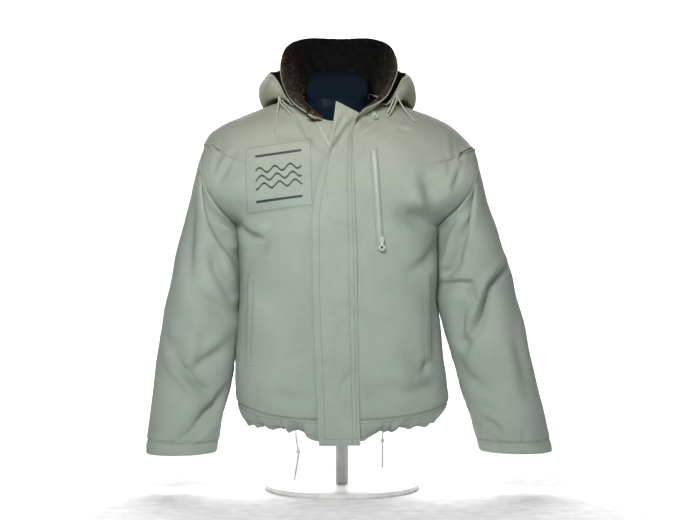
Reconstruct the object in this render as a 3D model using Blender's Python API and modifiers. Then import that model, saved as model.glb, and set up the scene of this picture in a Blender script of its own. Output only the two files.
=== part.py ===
"""Deck jacket, worn open at the neck by a limbless torso form on a low stand.

Metres, +Z up. The front of the jacket faces -Y and left and right are the wearer's, so the
left side is at +X. The origin is the centre of the stand's underside. Every cloth piece is a
wall between two grids of points: one is read from a smooth surface, the other lies one cloth
thickness under it along the surface's own normal.
"""
import math
from collections import namedtuple

import bmesh
import bpy
import numpy as np
from mathutils import Matrix, Vector
from mathutils.bvhtree import BVHTree

MM = 0.001

PADDED_WALL = 4.0 * MM        # shell, wadding and lining of the body and sleeves
SHELL_WALL = 2.0 * MM         # doubled shell cloth: collar, hood and flap
TRIM_WALL = 1.2 * MM          # patch, welts and tapes
PILE_WALL = 8.0 * MM          # dense pile on the inside of the collar
SEAM_GAP = 0.3 * MM
HEM_TOP_GAP = 0.22 * MM       # the gathered band below its seam
ON_CLOTH = 1.6 * MM           # a sewn-on piece above the panel that carries it
ON_CLOTH_NARROW = 0.9 * MM    # the same for a narrow strip, which follows the panel better
ON_TRIM = 3.0 * MM            # a piece that lies on such a strip
ON_FLAP_BASE = 3.8 * MM       # the zip on the flap under the storm flap
FRONT_EDGE_GAP = 1.2 * MM     # each front edge to the middle of the main zip

RIGHT = -1
LEFT = 1
FRONT = -1
BACK = 1

# Sections up the torso: 0 is the casing seam, 1 the armpit, 2 the shoulder point, 3 the neckline.
HEM = -0.15
CASING_SEAM = 0.0
ARMPIT = 1.0
SHOULDER_POINT = 2.0
NECKLINE = 3.0

ZIP_X = -0.006
BACK_CENTRE_X = -0.003

Centre = namedtuple("Centre", "v front_y front_z back_y back_z squareness")
CENTRE_LINES = (
    Centre(-0.15, -0.110, 0.1240, 0.106, 0.126, 0.80),
    Centre(-0.10, -0.119, 0.1300, 0.114, 0.136, 0.80),
    Centre(-0.05, -0.125, 0.1380, 0.119, 0.148, 0.80),
    Centre(0.00, -0.128, 0.1450, 0.122, 0.160, 0.80),
    Centre(0.12, -0.132, 0.1900, 0.125, 0.200, 0.80),
    Centre(0.30, -0.133, 0.2500, 0.125, 0.258, 0.80),
    Centre(0.50, -0.132, 0.3200, 0.122, 0.328, 0.80),
    Centre(0.70, -0.134, 0.3900, 0.121, 0.400, 0.79),
    Centre(0.86, -0.138, 0.4500, 0.123, 0.460, 0.78),
    Centre(1.00, -0.141, 0.5020, 0.125, 0.512, 0.78),
    Centre(1.50, -0.142, 0.5650, 0.126, 0.582, 0.79),
    Centre(2.00, -0.139, 0.6200, 0.124, 0.652, 0.82),
    Centre(2.30, -0.134, 0.6500, 0.121, 0.694, 0.86),
    Centre(2.60, -0.126, 0.6770, 0.115, 0.734, 0.90),
    Centre(2.80, -0.120, 0.6920, 0.108, 0.762, 0.94),
    Centre(3.00, -0.113, 0.7060, 0.098, 0.790, 1.00),
)

Side = namedtuple("Side", "v right_x right_z left_x left_z y")
SIDE_SEAMS = (
    Side(-0.15, 0.1790, 0.1270, 0.1760, 0.1320, 0.000),
    Side(-0.10, 0.1910, 0.1415, 0.1890, 0.1440, 0.000),
    Side(-0.05, 0.1990, 0.1564, 0.1990, 0.1570, 0.000),
    Side(0.00, 0.2030, 0.1720, 0.2050, 0.1700, 0.000),
    Side(0.12, 0.2055, 0.2000, 0.2035, 0.2000, 0.000),
    Side(0.30, 0.2055, 0.2550, 0.1970, 0.2550, 0.000),
    Side(0.50, 0.2020, 0.3200, 0.1895, 0.3200, 0.000),
    Side(0.70, 0.1960, 0.3900, 0.1800, 0.3900, 0.000),
    Side(0.86, 0.1930, 0.4500, 0.1755, 0.4500, 0.000),
    Side(0.95, 0.1945, 0.4880, 0.1760, 0.4880, 0.000),
    Side(1.00, 0.2013, 0.5086, 0.1820, 0.5086, 0.000),
)
SHOULDER_SEAMS = (
    Side(2.00, 0.2680, 0.6600, 0.2594, 0.6500, 0.004),
    Side(2.10, 0.2600, 0.6850, 0.2440, 0.6745, 0.006),
    Side(2.25, 0.2400, 0.7024, 0.2200, 0.6990, 0.008),
    Side(2.50, 0.1930, 0.7260, 0.1810, 0.7220, 0.010),
    Side(2.75, 0.1400, 0.7460, 0.1320, 0.7410, 0.008),
    Side(3.00, 0.0850, 0.7650, 0.0830, 0.7620, 0.004),
)

ARMPIT_BIAS = 1.2             # turns the armpit's outer face down, between body and sleeve
ARMHOLE_TURN = math.radians(46.0)
SHOULDER_FILL = 0.016         # how far the rounding below the shoulder point stands out
FILL_LEVEL = 1.97             # its step up the sections, and its spread below and above
FILL_BELOW = 0.22
FILL_ABOVE = 0.09
RISE_POWER = 2.5              # how late a section climbs from the centre line to the side

CENTRE_DROOP = 0.021          # the hem hangs lower between its two cord exits
DROOP_HALF_WIDTH = 0.062

SleeveRow = namedtuple("SleeveRow", "s outer_x outer_z inner_x inner_z y half_depth bow")
RIGHT_SLEEVE = (
    SleeveRow(0.000, 0.2680, 0.6600, 0.2013, 0.5086, 0.000, 0.0850, 0.024),
    SleeveRow(0.050, 0.2745, 0.6400, 0.2075, 0.4970, -0.001, 0.0870, 0.020),
    SleeveRow(0.120, 0.2855, 0.6000, 0.2070, 0.4780, -0.003, 0.0870, 0.012),
    SleeveRow(0.220, 0.3000, 0.5450, 0.2055, 0.4460, -0.005, 0.0850, 0.004),
    SleeveRow(0.380, 0.3260, 0.4390, 0.2050, 0.3900, -0.008, 0.0810, 0.000),
    SleeveRow(0.500, 0.3410, 0.3620, 0.2070, 0.3480, -0.011, 0.0780, 0.000),
    SleeveRow(0.620, 0.3540, 0.2900, 0.2137, 0.2870, -0.013, 0.0750, 0.000),
    SleeveRow(0.750, 0.3625, 0.2220, 0.2209, 0.2200, -0.015, 0.0720, 0.000),
    SleeveRow(0.880, 0.3715, 0.1500, 0.2320, 0.1480, -0.017, 0.0685, 0.000),
    SleeveRow(0.965, 0.3765, 0.0980, 0.2400, 0.0960, -0.018, 0.0665, 0.000),
    SleeveRow(1.000, 0.3785, 0.0720, 0.2445, 0.0740, -0.018, 0.0650, 0.000),
)
LEFT_SLEEVE = (
    SleeveRow(0.000, 0.2594, 0.6500, 0.1820, 0.5086, 0.000, 0.0850, 0.026),
    SleeveRow(0.050, 0.2635, 0.6320, 0.1885, 0.4970, -0.001, 0.0870, 0.021),
    SleeveRow(0.120, 0.2730, 0.5920, 0.1890, 0.4780, -0.003, 0.0875, 0.012),
    SleeveRow(0.220, 0.2890, 0.5400, 0.1875, 0.4460, -0.005, 0.0860, 0.004),
    SleeveRow(0.380, 0.3230, 0.4400, 0.1865, 0.3940, -0.008, 0.0830, 0.000),
    SleeveRow(0.500, 0.3410, 0.3680, 0.1930, 0.3520, -0.011, 0.0800, 0.000),
    SleeveRow(0.620, 0.3570, 0.3000, 0.2060, 0.2970, -0.013, 0.0770, 0.000),
    SleeveRow(0.750, 0.3755, 0.2200, 0.2290, 0.2190, -0.015, 0.0735, 0.000),
    SleeveRow(0.880, 0.3920, 0.1480, 0.2480, 0.1480, -0.017, 0.0700, 0.000),
    SleeveRow(0.965, 0.4020, 0.0980, 0.2615, 0.0990, -0.018, 0.0680, 0.000),
    SleeveRow(1.000, 0.4065, 0.0760, 0.2680, 0.0770, -0.018, 0.0660, 0.000),
)
CUFF_SEAM = 0.965

# Largest folds, as seen from the front or the back: a soft ridge or trough from one end to the
# other. A negative depth is a trough.
Fold = namedtuple("Fold", "face x0 z0 x1 z1 half_width depth")
TORSO_FOLDS = (
    Fold(FRONT, -0.205, 0.512, -0.150, 0.468, 0.016, -0.0060),
    Fold(FRONT, -0.190, 0.524, -0.135, 0.486, 0.017, 0.0045),
    Fold(FRONT, 0.190, 0.540, 0.150, 0.590, 0.018, -0.0065),
    Fold(FRONT, 0.205, 0.520, 0.120, 0.520, 0.022, -0.0035),
    Fold(FRONT, 0.175, 0.470, 0.145, 0.300, 0.020, 0.0040),
    Fold(FRONT, -0.185, 0.460, -0.165, 0.300, 0.018, 0.0035),
    Fold(FRONT, 0.175, 0.300, 0.165, 0.190, 0.016, -0.0050),
    Fold(FRONT, -0.120, 0.700, -0.060, 0.640, 0.016, -0.0040),
    Fold(FRONT, 0.070, 0.690, 0.040, 0.630, 0.014, -0.0045),
    Fold(FRONT, 0.100, 0.300, 0.130, 0.170, 0.024, 0.0030),
    Fold(FRONT, -0.110, 0.330, -0.140, 0.180, 0.024, 0.0030),
    Fold(BACK, -0.205, 0.530, -0.110, 0.470, 0.018, -0.0060),
    Fold(BACK, 0.190, 0.530, 0.100, 0.480, 0.018, -0.0055),
    Fold(BACK, -0.120, 0.420, -0.060, 0.200, 0.026, 0.0045),
    Fold(BACK, 0.080, 0.430, 0.110, 0.210, 0.026, 0.0040),
    Fold(BACK, 0.000, 0.330, 0.020, 0.180, 0.022, -0.0040),
    Fold(BACK, -0.150, 0.600, -0.100, 0.500, 0.020, 0.0035),
    Fold(BACK, 0.140, 0.600, 0.090, 0.510, 0.020, 0.0035),
)
SLEEVE_FOLDS = (
    Fold(FRONT, -0.262, 0.610, -0.228, 0.480, 0.014, -0.0100),
    Fold(FRONT, -0.300, 0.560, -0.285, 0.370, 0.018, -0.0040),
    Fold(FRONT, -0.322, 0.285, -0.262, 0.205, 0.015, -0.0075),
    Fold(FRONT, -0.272, 0.245, -0.222, 0.290, 0.014, -0.0070),
    Fold(FRONT, -0.300, 0.115, -0.232, 0.180, 0.014, -0.0080),
    Fold(FRONT, -0.345, 0.220, -0.290, 0.260, 0.020, 0.0045),
    Fold(FRONT, 0.252, 0.640, 0.205, 0.450, 0.015, -0.0105),
    Fold(FRONT, 0.215, 0.440, 0.190, 0.390, 0.014, -0.0060),
    Fold(FRONT, 0.315, 0.430, 0.235, 0.290, 0.016, -0.0075),
    Fold(FRONT, 0.245, 0.400, 0.232, 0.290, 0.014, -0.0060),
    Fold(FRONT, 0.262, 0.150, 0.300, 0.125, 0.012, -0.0050),
    Fold(FRONT, 0.300, 0.330, 0.340, 0.180, 0.022, 0.0035),
    Fold(BACK, -0.300, 0.330, -0.235, 0.270, 0.016, -0.0070),
    Fold(BACK, -0.340, 0.250, -0.250, 0.200, 0.016, -0.0065),
    Fold(BACK, -0.250, 0.600, -0.230, 0.470, 0.016, -0.0080),
    Fold(BACK, -0.320, 0.150, -0.250, 0.180, 0.014, -0.0050),
    Fold(BACK, 0.320, 0.330, 0.230, 0.280, 0.016, -0.0070),
    Fold(BACK, 0.360, 0.240, 0.260, 0.200, 0.016, -0.0065),
    Fold(BACK, 0.240, 0.600, 0.215, 0.460, 0.016, -0.0080),
    Fold(BACK, 0.280, 0.140, 0.350, 0.170, 0.014, -0.0050),
)

# Gathers of the hem casing, drawn up on its cord: place along each quarter and height.
Gather = namedtuple("Gather", "c width height")
HEM_GATHERS = (
    Gather(0.13, 0.030, 0.0030),
    Gather(0.22, 0.026, -0.0035),
    Gather(0.30, 0.026, 0.0040),
    Gather(0.38, 0.028, -0.0040),
    Gather(0.47, 0.030, 0.0030),
    Gather(0.56, 0.030, -0.0030),
    Gather(0.66, 0.032, 0.0035),
    Gather(0.76, 0.030, -0.0030),
    Gather(0.87, 0.032, 0.0025),
)

CollarRow = namedtuple("CollarRow", "turn x y z bulge lip")
COLLAR_TOP = (
    CollarRow(20.0, -0.0540, -0.1220, 0.7130, 0.000, 0.000),
    CollarRow(36.0, -0.0850, -0.1000, 0.7350, 0.001, 0.000),
    CollarRow(58.0, -0.1060, -0.0560, 0.7640, 0.003, 0.000),
    CollarRow(90.0, -0.1215, 0.0050, 0.8180, 0.006, 0.003),
    CollarRow(122.0, -0.1120, 0.0620, 0.8600, 0.008, 0.006),
    CollarRow(152.0, -0.0700, 0.0960, 0.8790, 0.008, 0.008),
    CollarRow(180.0, -0.0050, 0.1080, 0.8800, 0.008, 0.008),
    CollarRow(208.0, 0.0560, 0.0960, 0.8790, 0.008, 0.008),
    CollarRow(238.0, 0.0980, 0.0620, 0.8620, 0.008, 0.006),
    CollarRow(270.0, 0.1090, 0.0050, 0.8290, 0.006, 0.003),
    CollarRow(302.0, 0.1010, -0.0500, 0.7870, 0.003, 0.000),
    CollarRow(324.0, 0.0790, -0.0930, 0.7480, 0.001, 0.000),
    CollarRow(340.0, 0.0440, -0.1210, 0.7270, 0.000, 0.000),
)

# The hood hangs behind the collar as a gutter. Each row is one upright cut through it, as
# distances out from the neckline (out) and heights above it (up), from its seam to its rim.
HoodRow = namedtuple("HoodRow", "turn out up")
HOOD_CUTS = (
    HoodRow(56.0, (0.014, 0.019, 0.024, 0.028, 0.031, 0.033, 0.034),
            (-0.002, -0.004, -0.004, -0.003, 0.000, 0.003, 0.006)),
    HoodRow(70.0, (0.011, 0.022, 0.034, 0.044, 0.050, 0.051, 0.045),
            (0.000, -0.001, -0.003, 0.000, 0.012, 0.023, 0.033)),
    HoodRow(90.0, (0.008, 0.027, 0.048, 0.063, 0.071, 0.069, 0.054),
            (0.002, 0.001, -0.008, -0.012, 0.004, 0.028, 0.056)),
    HoodRow(120.0, (0.007, 0.032, 0.054, 0.072, 0.090, 0.092, 0.068),
            (0.001, -0.008, -0.028, -0.040, -0.020, 0.012, 0.048)),
    HoodRow(150.0, (0.006, 0.034, 0.048, 0.068, 0.096, 0.100, 0.072),
            (0.000, -0.030, -0.082, -0.106, -0.072, -0.018, 0.034)),
    HoodRow(180.0, (0.005, 0.032, 0.042, 0.066, 0.100, 0.104, 0.074),
            (0.000, -0.044, -0.112, -0.142, -0.098, -0.028, 0.030)),
)
HOOD_SEAM_CLEAR = 1.0 * MM
HOOD_CLEAR = 7.5 * MM
HOOD_LEFT_REACH = 0.80        # the hood sits closer in on the wearer's left

FlapRow = namedtuple("FlapRow", "z free_x seam_x lift")
STORM_FLAP = (
    FlapRow(0.0990, -0.0409, 0.0354, 0.0040),
    FlapRow(0.1460, -0.0432, 0.0335, 0.0045),
    FlapRow(0.1840, -0.0441, 0.0326, 0.0050),
    FlapRow(0.2770, -0.0480, 0.0305, 0.0050),
    FlapRow(0.3700, -0.0520, 0.0294, 0.0050),
    FlapRow(0.4540, -0.0527, 0.0281, 0.0052),
    FlapRow(0.5480, -0.0495, 0.0247, 0.0060),
    FlapRow(0.5810, -0.0432, 0.0236, 0.0068),
    FlapRow(0.6130, -0.0355, 0.0225, 0.0082),
    FlapRow(0.6500, -0.0249, 0.0205, 0.0104),
    FlapRow(0.6800, -0.0165, 0.0208, 0.0132),
    FlapRow(0.7000, -0.0129, 0.0246, 0.0154),
    FlapRow(0.7200, -0.0094, 0.0330, 0.0170),
)
FLAP_TIP_RISE = 0.020         # the free top corner stands above the sewn one

Quad = namedtuple("Quad", "x0 z0 x1 z1 x2 z2 x3 z3")
CHEST_PATCH = Quad(-0.1789, 0.531, -0.0517, 0.546, -0.0555, 0.673, -0.1826, 0.656)
CHEST_WELT = Quad(0.0640, 0.463, 0.0800, 0.463, 0.0670, 0.657, 0.0510, 0.657)
CHEST_TAPE = Quad(0.0697, 0.470, 0.0757, 0.470, 0.0632, 0.650, 0.0572, 0.650)
RIGHT_POCKET = Quad(-0.1830, 0.246, -0.1710, 0.246, -0.1655, 0.420, -0.1775, 0.420)
LEFT_POCKET = Quad(0.1590, 0.252, 0.1710, 0.252, 0.1675, 0.422, 0.1555, 0.422)
UNDER_FLAP = Quad(-0.0300, 0.640, -0.0190, 0.640, -0.0180, 0.7030, -0.0500, 0.7030)
ZIP_TOP = Quad(-0.0250, 0.658, -0.0205, 0.658, -0.0430, 0.7010, -0.0475, 0.7010)

# A zip slider and its pull tab: its middle as seen from the front, and the tab's length.
Slider = namedtuple("Slider", "x z lift pull_length")
CHEST_SLIDER = Slider(0.0733, 0.4830, ON_TRIM + TRIM_WALL + SEAM_GAP, 0.0200)
COLLAR_SLIDER = Slider(0.0600, 0.7210, SEAM_GAP, 0.0170)
SLIDER_WIDTH = 0.0085
SLIDER_HEIGHT = 0.0120
SLIDER_DEPTH = 0.0030
EAR_WIDTH = 0.0012
EAR_HEIGHT = 0.0030
EAR_DEPTH = 0.0026
EAR_SINK = 0.0004
PULL_WIDTH = 0.0120
PULL_NECK_WIDTH = 0.0050
PULL_THICKNESS = 0.0014
PULL_HOLE = 0.0030
PULL_ABOVE_AXIS = 0.0010
AXIS_ABOVE_SLIDER = 0.0014

CORD_DIAMETER = 3.0 * MM
KNOT_DIAMETER = 7.0 * MM
STOP_DIAMETER = 8.5 * MM
STOP_HEIGHT = 9.0 * MM
EYELET_RING = 3.2 * MM        # middle of the ring's wire to the eyelet's middle
EYELET_WIRE = 0.8 * MM

# The cords' routes. Each hood cord is knotted in front of its eyelet, with one hanging end and a
# bow; each hem cord runs down from the casing, through its stop, to a free end.
HOOD_KNOTS = {
    "right": Vector((-0.1193, -0.0594, 0.7509)),
    "left": Vector((0.1060, -0.0640, 0.7573)),
}
HOOD_EYELETS = {
    "right": (-0.1190, 0.7558),
    "left": (0.1050, 0.7640),
}
HEM_STOPS = {
    "right": Vector((-0.0815, -0.1100, 0.0850)),
    "left": Vector((0.0766, -0.1085, 0.1056)),
}
CORD_ROUTES = {
    "hood_cord_right": (
        (-0.1210, -0.0597, 0.7474), (-0.1213, -0.0606, 0.7430), (-0.1217, -0.0618, 0.7380),
        (-0.1222, -0.0640, 0.7325), (-0.1229, -0.0682, 0.7262), (-0.1239, -0.0748, 0.7188),
        (-0.1249, -0.0824, 0.7112), (-0.1257, -0.0898, 0.7040), (-0.1264, -0.0976, 0.6963),
        (-0.1268, -0.1040, 0.6892),
    ),
    "hood_bow_right": (
        (-0.1146, -0.0598, 0.7511), (-0.1114, -0.0606, 0.7468), (-0.1060, -0.0648, 0.7398),
        (-0.0975, -0.0725, 0.7322), (-0.0910, -0.0818, 0.7248), (-0.0890, -0.0870, 0.7198),
        (-0.0915, -0.0881, 0.7164), (-0.0970, -0.0826, 0.7218), (-0.1040, -0.0740, 0.7300),
        (-0.1110, -0.0672, 0.7382), (-0.1162, -0.0644, 0.7440), (-0.1184, -0.0634, 0.7482),
    ),
    "hood_cord_left": (
        (0.1081, -0.0643, 0.7540), (0.1098, -0.0640, 0.7498), (0.1124, -0.0634, 0.7445),
        (0.1158, -0.0630, 0.7388), (0.1200, -0.0636, 0.7325), (0.1250, -0.0655, 0.7262),
        (0.1302, -0.0684, 0.7198), (0.1352, -0.0718, 0.7138), (0.1400, -0.0752, 0.7082),
    ),
    "hood_bow_left": (
        (0.1018, -0.0654, 0.7570), (0.0990, -0.0703, 0.7516), (0.0958, -0.0724, 0.7438),
        (0.0915, -0.0745, 0.7350), (0.0876, -0.0782, 0.7268), (0.0854, -0.0824, 0.7210),
        (0.0878, -0.0834, 0.7180), (0.0926, -0.0788, 0.7246), (0.0974, -0.0736, 0.7340),
        (0.1014, -0.0702, 0.7432), (0.1044, -0.0692, 0.7500), (0.1055, -0.0679, 0.7547),
    ),
    "hem_cord_right_upper": (
        (-0.0862, -0.1022, 0.1227), (-0.0862, -0.1032, 0.1170), (-0.0858, -0.1050, 0.1110),
        (-0.0848, -0.1070, 0.1050), (-0.0835, -0.1086, 0.0985), (-0.0822, -0.1096, 0.0900),
    ),
    "hem_cord_right_lower": (
        (-0.0816, -0.1102, 0.0800), (-0.0822, -0.1105, 0.0720), (-0.0836, -0.1108, 0.0630),
        (-0.0853, -0.1111, 0.0530), (-0.0870, -0.1114, 0.0420), (-0.0886, -0.1116, 0.0308),
    ),
    "hem_cord_left_upper": (
        (0.0778, -0.1022, 0.1237), (0.0776, -0.1032, 0.1205), (0.0773, -0.1050, 0.1170),
        (0.0770, -0.1068, 0.1138), (0.0767, -0.1079, 0.1106),
    ),
    "hem_cord_left_lower": (
        (0.0766, -0.1088, 0.1006), (0.0767, -0.1092, 0.0930), (0.0768, -0.1097, 0.0840),
        (0.0768, -0.1100, 0.0750), (0.0767, -0.1102, 0.0650), (0.0766, -0.1103, 0.0552),
    ),
}
POINTS_PER_SPAN = 2

FormRow = namedtuple("FormRow",
                     "front_y front_z back_y back_z right_x right_z left_x left_z side_y power")
FORM_TRUNK = (
    FormRow(-0.082, 0.190, 0.080, 0.190, 0.143, 0.190, 0.141, 0.190, 0.000, 0.90),
    FormRow(-0.094, 0.235, 0.090, 0.235, 0.151, 0.235, 0.148, 0.235, 0.000, 0.90),
    FormRow(-0.090, 0.320, 0.085, 0.320, 0.139, 0.320, 0.137, 0.320, 0.000, 0.90),
    FormRow(-0.099, 0.420, 0.092, 0.420, 0.146, 0.420, 0.143, 0.420, 0.000, 0.90),
    FormRow(-0.109, 0.510, 0.098, 0.515, 0.160, 0.510, 0.156, 0.510, 0.000, 0.90),
    FormRow(-0.109, 0.575, 0.101, 0.590, 0.175, 0.600, 0.171, 0.600, 0.000, 0.90),
    FormRow(-0.102, 0.620, 0.099, 0.645, 0.184, 0.655, 0.179, 0.655, 0.000, 0.90),
    FormRow(-0.093, 0.655, 0.095, 0.685, 0.184, 0.695, 0.178, 0.692, 0.000, 0.90),
)
FormSeat = namedtuple("FormSeat", "v front_y front_z back_y back_z")
FORM_SEATS = (
    FormSeat(2.6, -0.082, 0.680, 0.090, 0.712),
    FormSeat(2.8, -0.072, 0.702, 0.082, 0.742),
)
FORM_NECK = (
    FormRow(-0.062, 0.718, 0.074, 0.764, 0.0725, 0.7615, 0.0545, 0.7590, 0.004, 0.80),
    FormRow(-0.056, 0.737, 0.066, 0.789, 0.0710, 0.7760, 0.0515, 0.7750, 0.004, 0.68),
    FormRow(-0.052, 0.7546, 0.062, 0.821, 0.0720, 0.7880, 0.0530, 0.7880, 0.004, 0.62),
)
FORM_CLEAR = 0.35 * MM

BASE_RADIUS = 0.150
BASE_HEIGHT = 0.010
BASE_EDGE = 0.003
POLE_RADIUS = 0.012
POLE_TOP = FORM_TRUNK[0].front_z - SEAM_GAP

COLOURS = {
    "shell": (0.330, 0.365, 0.300, 1.0),
    "pile": (0.035, 0.022, 0.016, 1.0),
    "cord": (0.450, 0.480, 0.430, 1.0),
    "metal": (0.560, 0.600, 0.540, 1.0),
    "form": (0.006, 0.012, 0.022, 1.0),
    "stand": (0.850, 0.850, 0.840, 1.0),
}


def clear_scene():
    for item in list(bpy.data.objects):
        bpy.data.objects.remove(item, do_unlink=True)


def make_material(name, roughness, metallic=0.0):
    material = bpy.data.materials.new(name)
    material.use_nodes = True
    shader = material.node_tree.nodes["Principled BSDF"]
    shader.inputs["Base Color"].default_value = COLOURS[name]
    shader.inputs["Roughness"].default_value = roughness
    shader.inputs["Metallic"].default_value = metallic
    return material


def smooth_column(rows, column, at):
    """Read a table's column between its rows, as a cubic whose slopes come from the neighbours."""
    knots = np.array([row[0] for row in rows])
    values = np.array([getattr(row, column) for row in rows])
    return smooth_values(knots, values, at)


def smooth_values(knots, values, at):
    slopes = np.gradient(values, knots)
    left = np.clip(np.searchsorted(knots, at, side="right") - 1, 0, len(knots) - 2)
    step = knots[left + 1] - knots[left]
    u = (at - knots[left]) / step
    start = (1 + 2 * u) * (1 - u) ** 2 * values[left] + u * (1 - u) ** 2 * step * slopes[left]
    end = u * u * (3 - 2 * u) * values[left + 1] + u * u * (u - 1) * step * slopes[left + 1]
    return start + end


def sleeve_table(side):
    return RIGHT_SLEEVE if side == RIGHT else LEFT_SLEEVE


def sleeve_ring(side, s, turn):
    """Point of the plain sleeve: s runs down from the armhole, turn from its top to the back."""
    rows = sleeve_table(side)
    outer_x = smooth_column(rows, "outer_x", s)
    outer_z = smooth_column(rows, "outer_z", s)
    inner_x = smooth_column(rows, "inner_x", s)
    inner_z = smooth_column(rows, "inner_z", s)
    depth = smooth_column(rows, "half_depth", s)
    bow = smooth_column(rows, "bow", s)
    across = np.cos(turn)
    x = (outer_x + inner_x) / 2 + across * (outer_x - inner_x) / 2 + bow * np.sin(turn) ** 2
    z = (outer_z + inner_z) / 2 + across * (outer_z - inner_z) / 2
    y = smooth_column(rows, "y", s) + depth * np.sin(turn)
    return np.stack(np.broadcast_arrays(side * x, y, z), axis=-1)


def torso_edge(side, face, v):
    """Where a section meets the side seam, the armhole or the shoulder seam."""
    x_name = "right_x" if side == RIGHT else "left_x"
    z_name = "right_z" if side == RIGHT else "left_z"
    low = np.minimum(v, ARMPIT)
    high = np.maximum(v, SHOULDER_POINT)
    below = [side * smooth_column(SIDE_SEAMS, x_name, low), smooth_column(SIDE_SEAMS, "y", low),
             smooth_column(SIDE_SEAMS, z_name, low)]
    above = [side * smooth_column(SHOULDER_SEAMS, x_name, high),
             smooth_column(SHOULDER_SEAMS, "y", high),
             smooth_column(SHOULDER_SEAMS, z_name, high)]
    climb = np.clip(v - ARMPIT, 0.0, 1.0)
    loop = sleeve_ring(side, np.zeros_like(v), face * math.pi * (1 - climb))
    loop[..., 1] += climb * SHOULDER_SEAMS[0].y
    edge = np.empty(np.shape(v) + (3,))
    for axis in range(3):
        edge[..., axis] = np.where(v < ARMPIT, below[axis],
                                   np.where(v > SHOULDER_POINT, above[axis], loop[..., axis]))
    return edge


def shoulder_fill(v, c):
    """Rounding of the shoulder between the armhole's top and the seam to the neck."""
    rise = np.clip((c - 0.48) / 0.36, 0.0, 1.0)
    fall = 1.0 - np.clip((c - 0.90) / 0.10, 0.0, 1.0) ** 2
    spread = np.where(v < FILL_LEVEL, FILL_BELOW, FILL_ABOVE)
    return (SHOULDER_FILL * rise ** 2 * (3 - 2 * rise) * fall
            * np.exp(-((v - FILL_LEVEL) / spread) ** 2))


def torso_plain(side, face, v, c):
    """Point of the torso without folds: c runs from the centre line to the section's edge."""
    v, c = np.broadcast_arrays(np.asarray(v, float), np.asarray(c, float))
    name = "front" if face == FRONT else "back"
    centre_y = smooth_column(CENTRE_LINES, name + "_y", v)
    centre_z = smooth_column(CENTRE_LINES, name + "_z", v)
    centre_x = ZIP_X if face == FRONT else BACK_CENTRE_X
    power = smooth_column(CENTRE_LINES, "squareness", v)
    edge = torso_edge(side, face, v)
    open_part = np.clip(v - ARMPIT, 0.0, 1.0)
    last = math.pi / 2 - ARMHOLE_TURN * np.sin(math.pi * open_part)
    angle = c * last
    sine = np.sin(angle) ** power
    cosine = np.maximum(np.cos(angle), 0.0) ** power
    last_cosine = np.where(open_part * (1 - open_part) > 0, np.maximum(np.cos(last), 0.0) ** power, 0.0)
    middle_y = (edge[..., 1] - centre_y * last_cosine) / (1 - last_cosine)
    x = centre_x + (edge[..., 0] - centre_x) * sine / np.sin(last) ** power
    y = middle_y - (middle_y - centre_y) * cosine
    z = centre_z + (edge[..., 2] - centre_z) * (np.sin(angle) / np.sin(last)) ** RISE_POWER
    fill = shoulder_fill(v, c)
    y = y + face * 0.75 * fill
    z = z + 0.66 * fill
    if face == FRONT:
        low = np.clip(-v / -HEM, 0.0, 1.0)
        z = z - low * CENTRE_DROOP * np.exp(-((x - centre_x) / DROOP_HALF_WIDTH) ** 4)
        y = y - low * 0.5 * CENTRE_DROOP * np.exp(-((x - centre_x) / DROOP_HALF_WIDTH) ** 4)
    return np.stack((x, y, z), axis=-1)


def fold_height(points, faces, folds):
    """Sum of the ridges and troughs at some points; faces is -1 to 1 from front to back."""
    height = np.zeros(points.shape[:-1])
    for fold in folds:
        start = np.array((fold.x0, fold.z0))
        run = np.array((fold.x1, fold.z1)) - start
        length = np.linalg.norm(run)
        offset = points[..., (0, 2)] - start
        along = offset @ run / length ** 2
        beside = (offset[..., 0] * run[1] - offset[..., 1] * run[0]) / length
        past = np.maximum(np.maximum(-along, along - 1.0), 0.0) * length
        inside = np.clip(along, 0.0, 1.0)
        fade = 0.35 + 0.65 * np.sin(math.pi * (0.15 + 0.7 * inside))
        away = (beside ** 2 + past ** 2) / fold.half_width ** 2
        facing = np.clip(faces * fold.face * 2.0, 0.0, 1.0)
        height += fold.depth * fade * np.exp(-away) * facing
    return height


def normals_of(surface, u, w, step=1e-3):
    """Unit normals of a surface function of two grids of parameters."""
    u_low, u_high, w_low, w_high = surface.limits
    across = surface(np.minimum(u + step, u_high), w) - surface(np.maximum(u - step, u_low), w)
    up = surface(u, np.minimum(w + step, w_high)) - surface(u, np.maximum(w - step, w_low))
    normal = np.cross(across, up)
    size = np.linalg.norm(normal, axis=-1, keepdims=True)
    return normal / np.maximum(size, 1e-12)


class Torso:
    """The jacket's body on one side and one face, with its folds."""

    limits = (HEM, NECKLINE, 0.0, 1.0)

    def __init__(self, side, face):
        self.side = side
        self.face = face

    def __call__(self, v, c):
        plain = torso_plain(self.side, self.face, v, c)
        return plain

    def normal(self, v, c):
        return self.side * self.face * normals_of(self, v, c)

    def grid(self, v, c):
        """Points and normals with folds, the shoulder seam kept plain for the form below it."""
        plain = self(v, c)
        normal = self.normal(v, c)
        height = fold_height(plain, normal[..., 1], TORSO_FOLDS)
        height = height * np.clip((2.55 - v) / 0.3, 0.0, 1.0)
        hem = np.clip(-v / -HEM, 0.0, 1.0)
        for gather in HEM_GATHERS:
            height = height + hem * gather.height * np.exp(-((c - gather.c) / gather.width) ** 2)
        return plain + height[..., None] * normal, normal


class Sleeve:
    limits = (0.0, 1.0, -10.0, 10.0)

    def __init__(self, side):
        self.side = side

    def __call__(self, s, turn):
        return sleeve_ring(self.side, s, turn)

    def grid(self, s, turn):
        plain = self(s, turn)
        normal = self.side * normals_of(self, s, turn)
        height = fold_height(plain, normal[..., 1], SLEEVE_FOLDS)
        height = height * np.clip(s / 0.05, 0.0, 1.0) * np.clip((1.0 - s) / 0.06, 0.0, 1.0)
        return plain + height[..., None] * normal, normal


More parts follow.
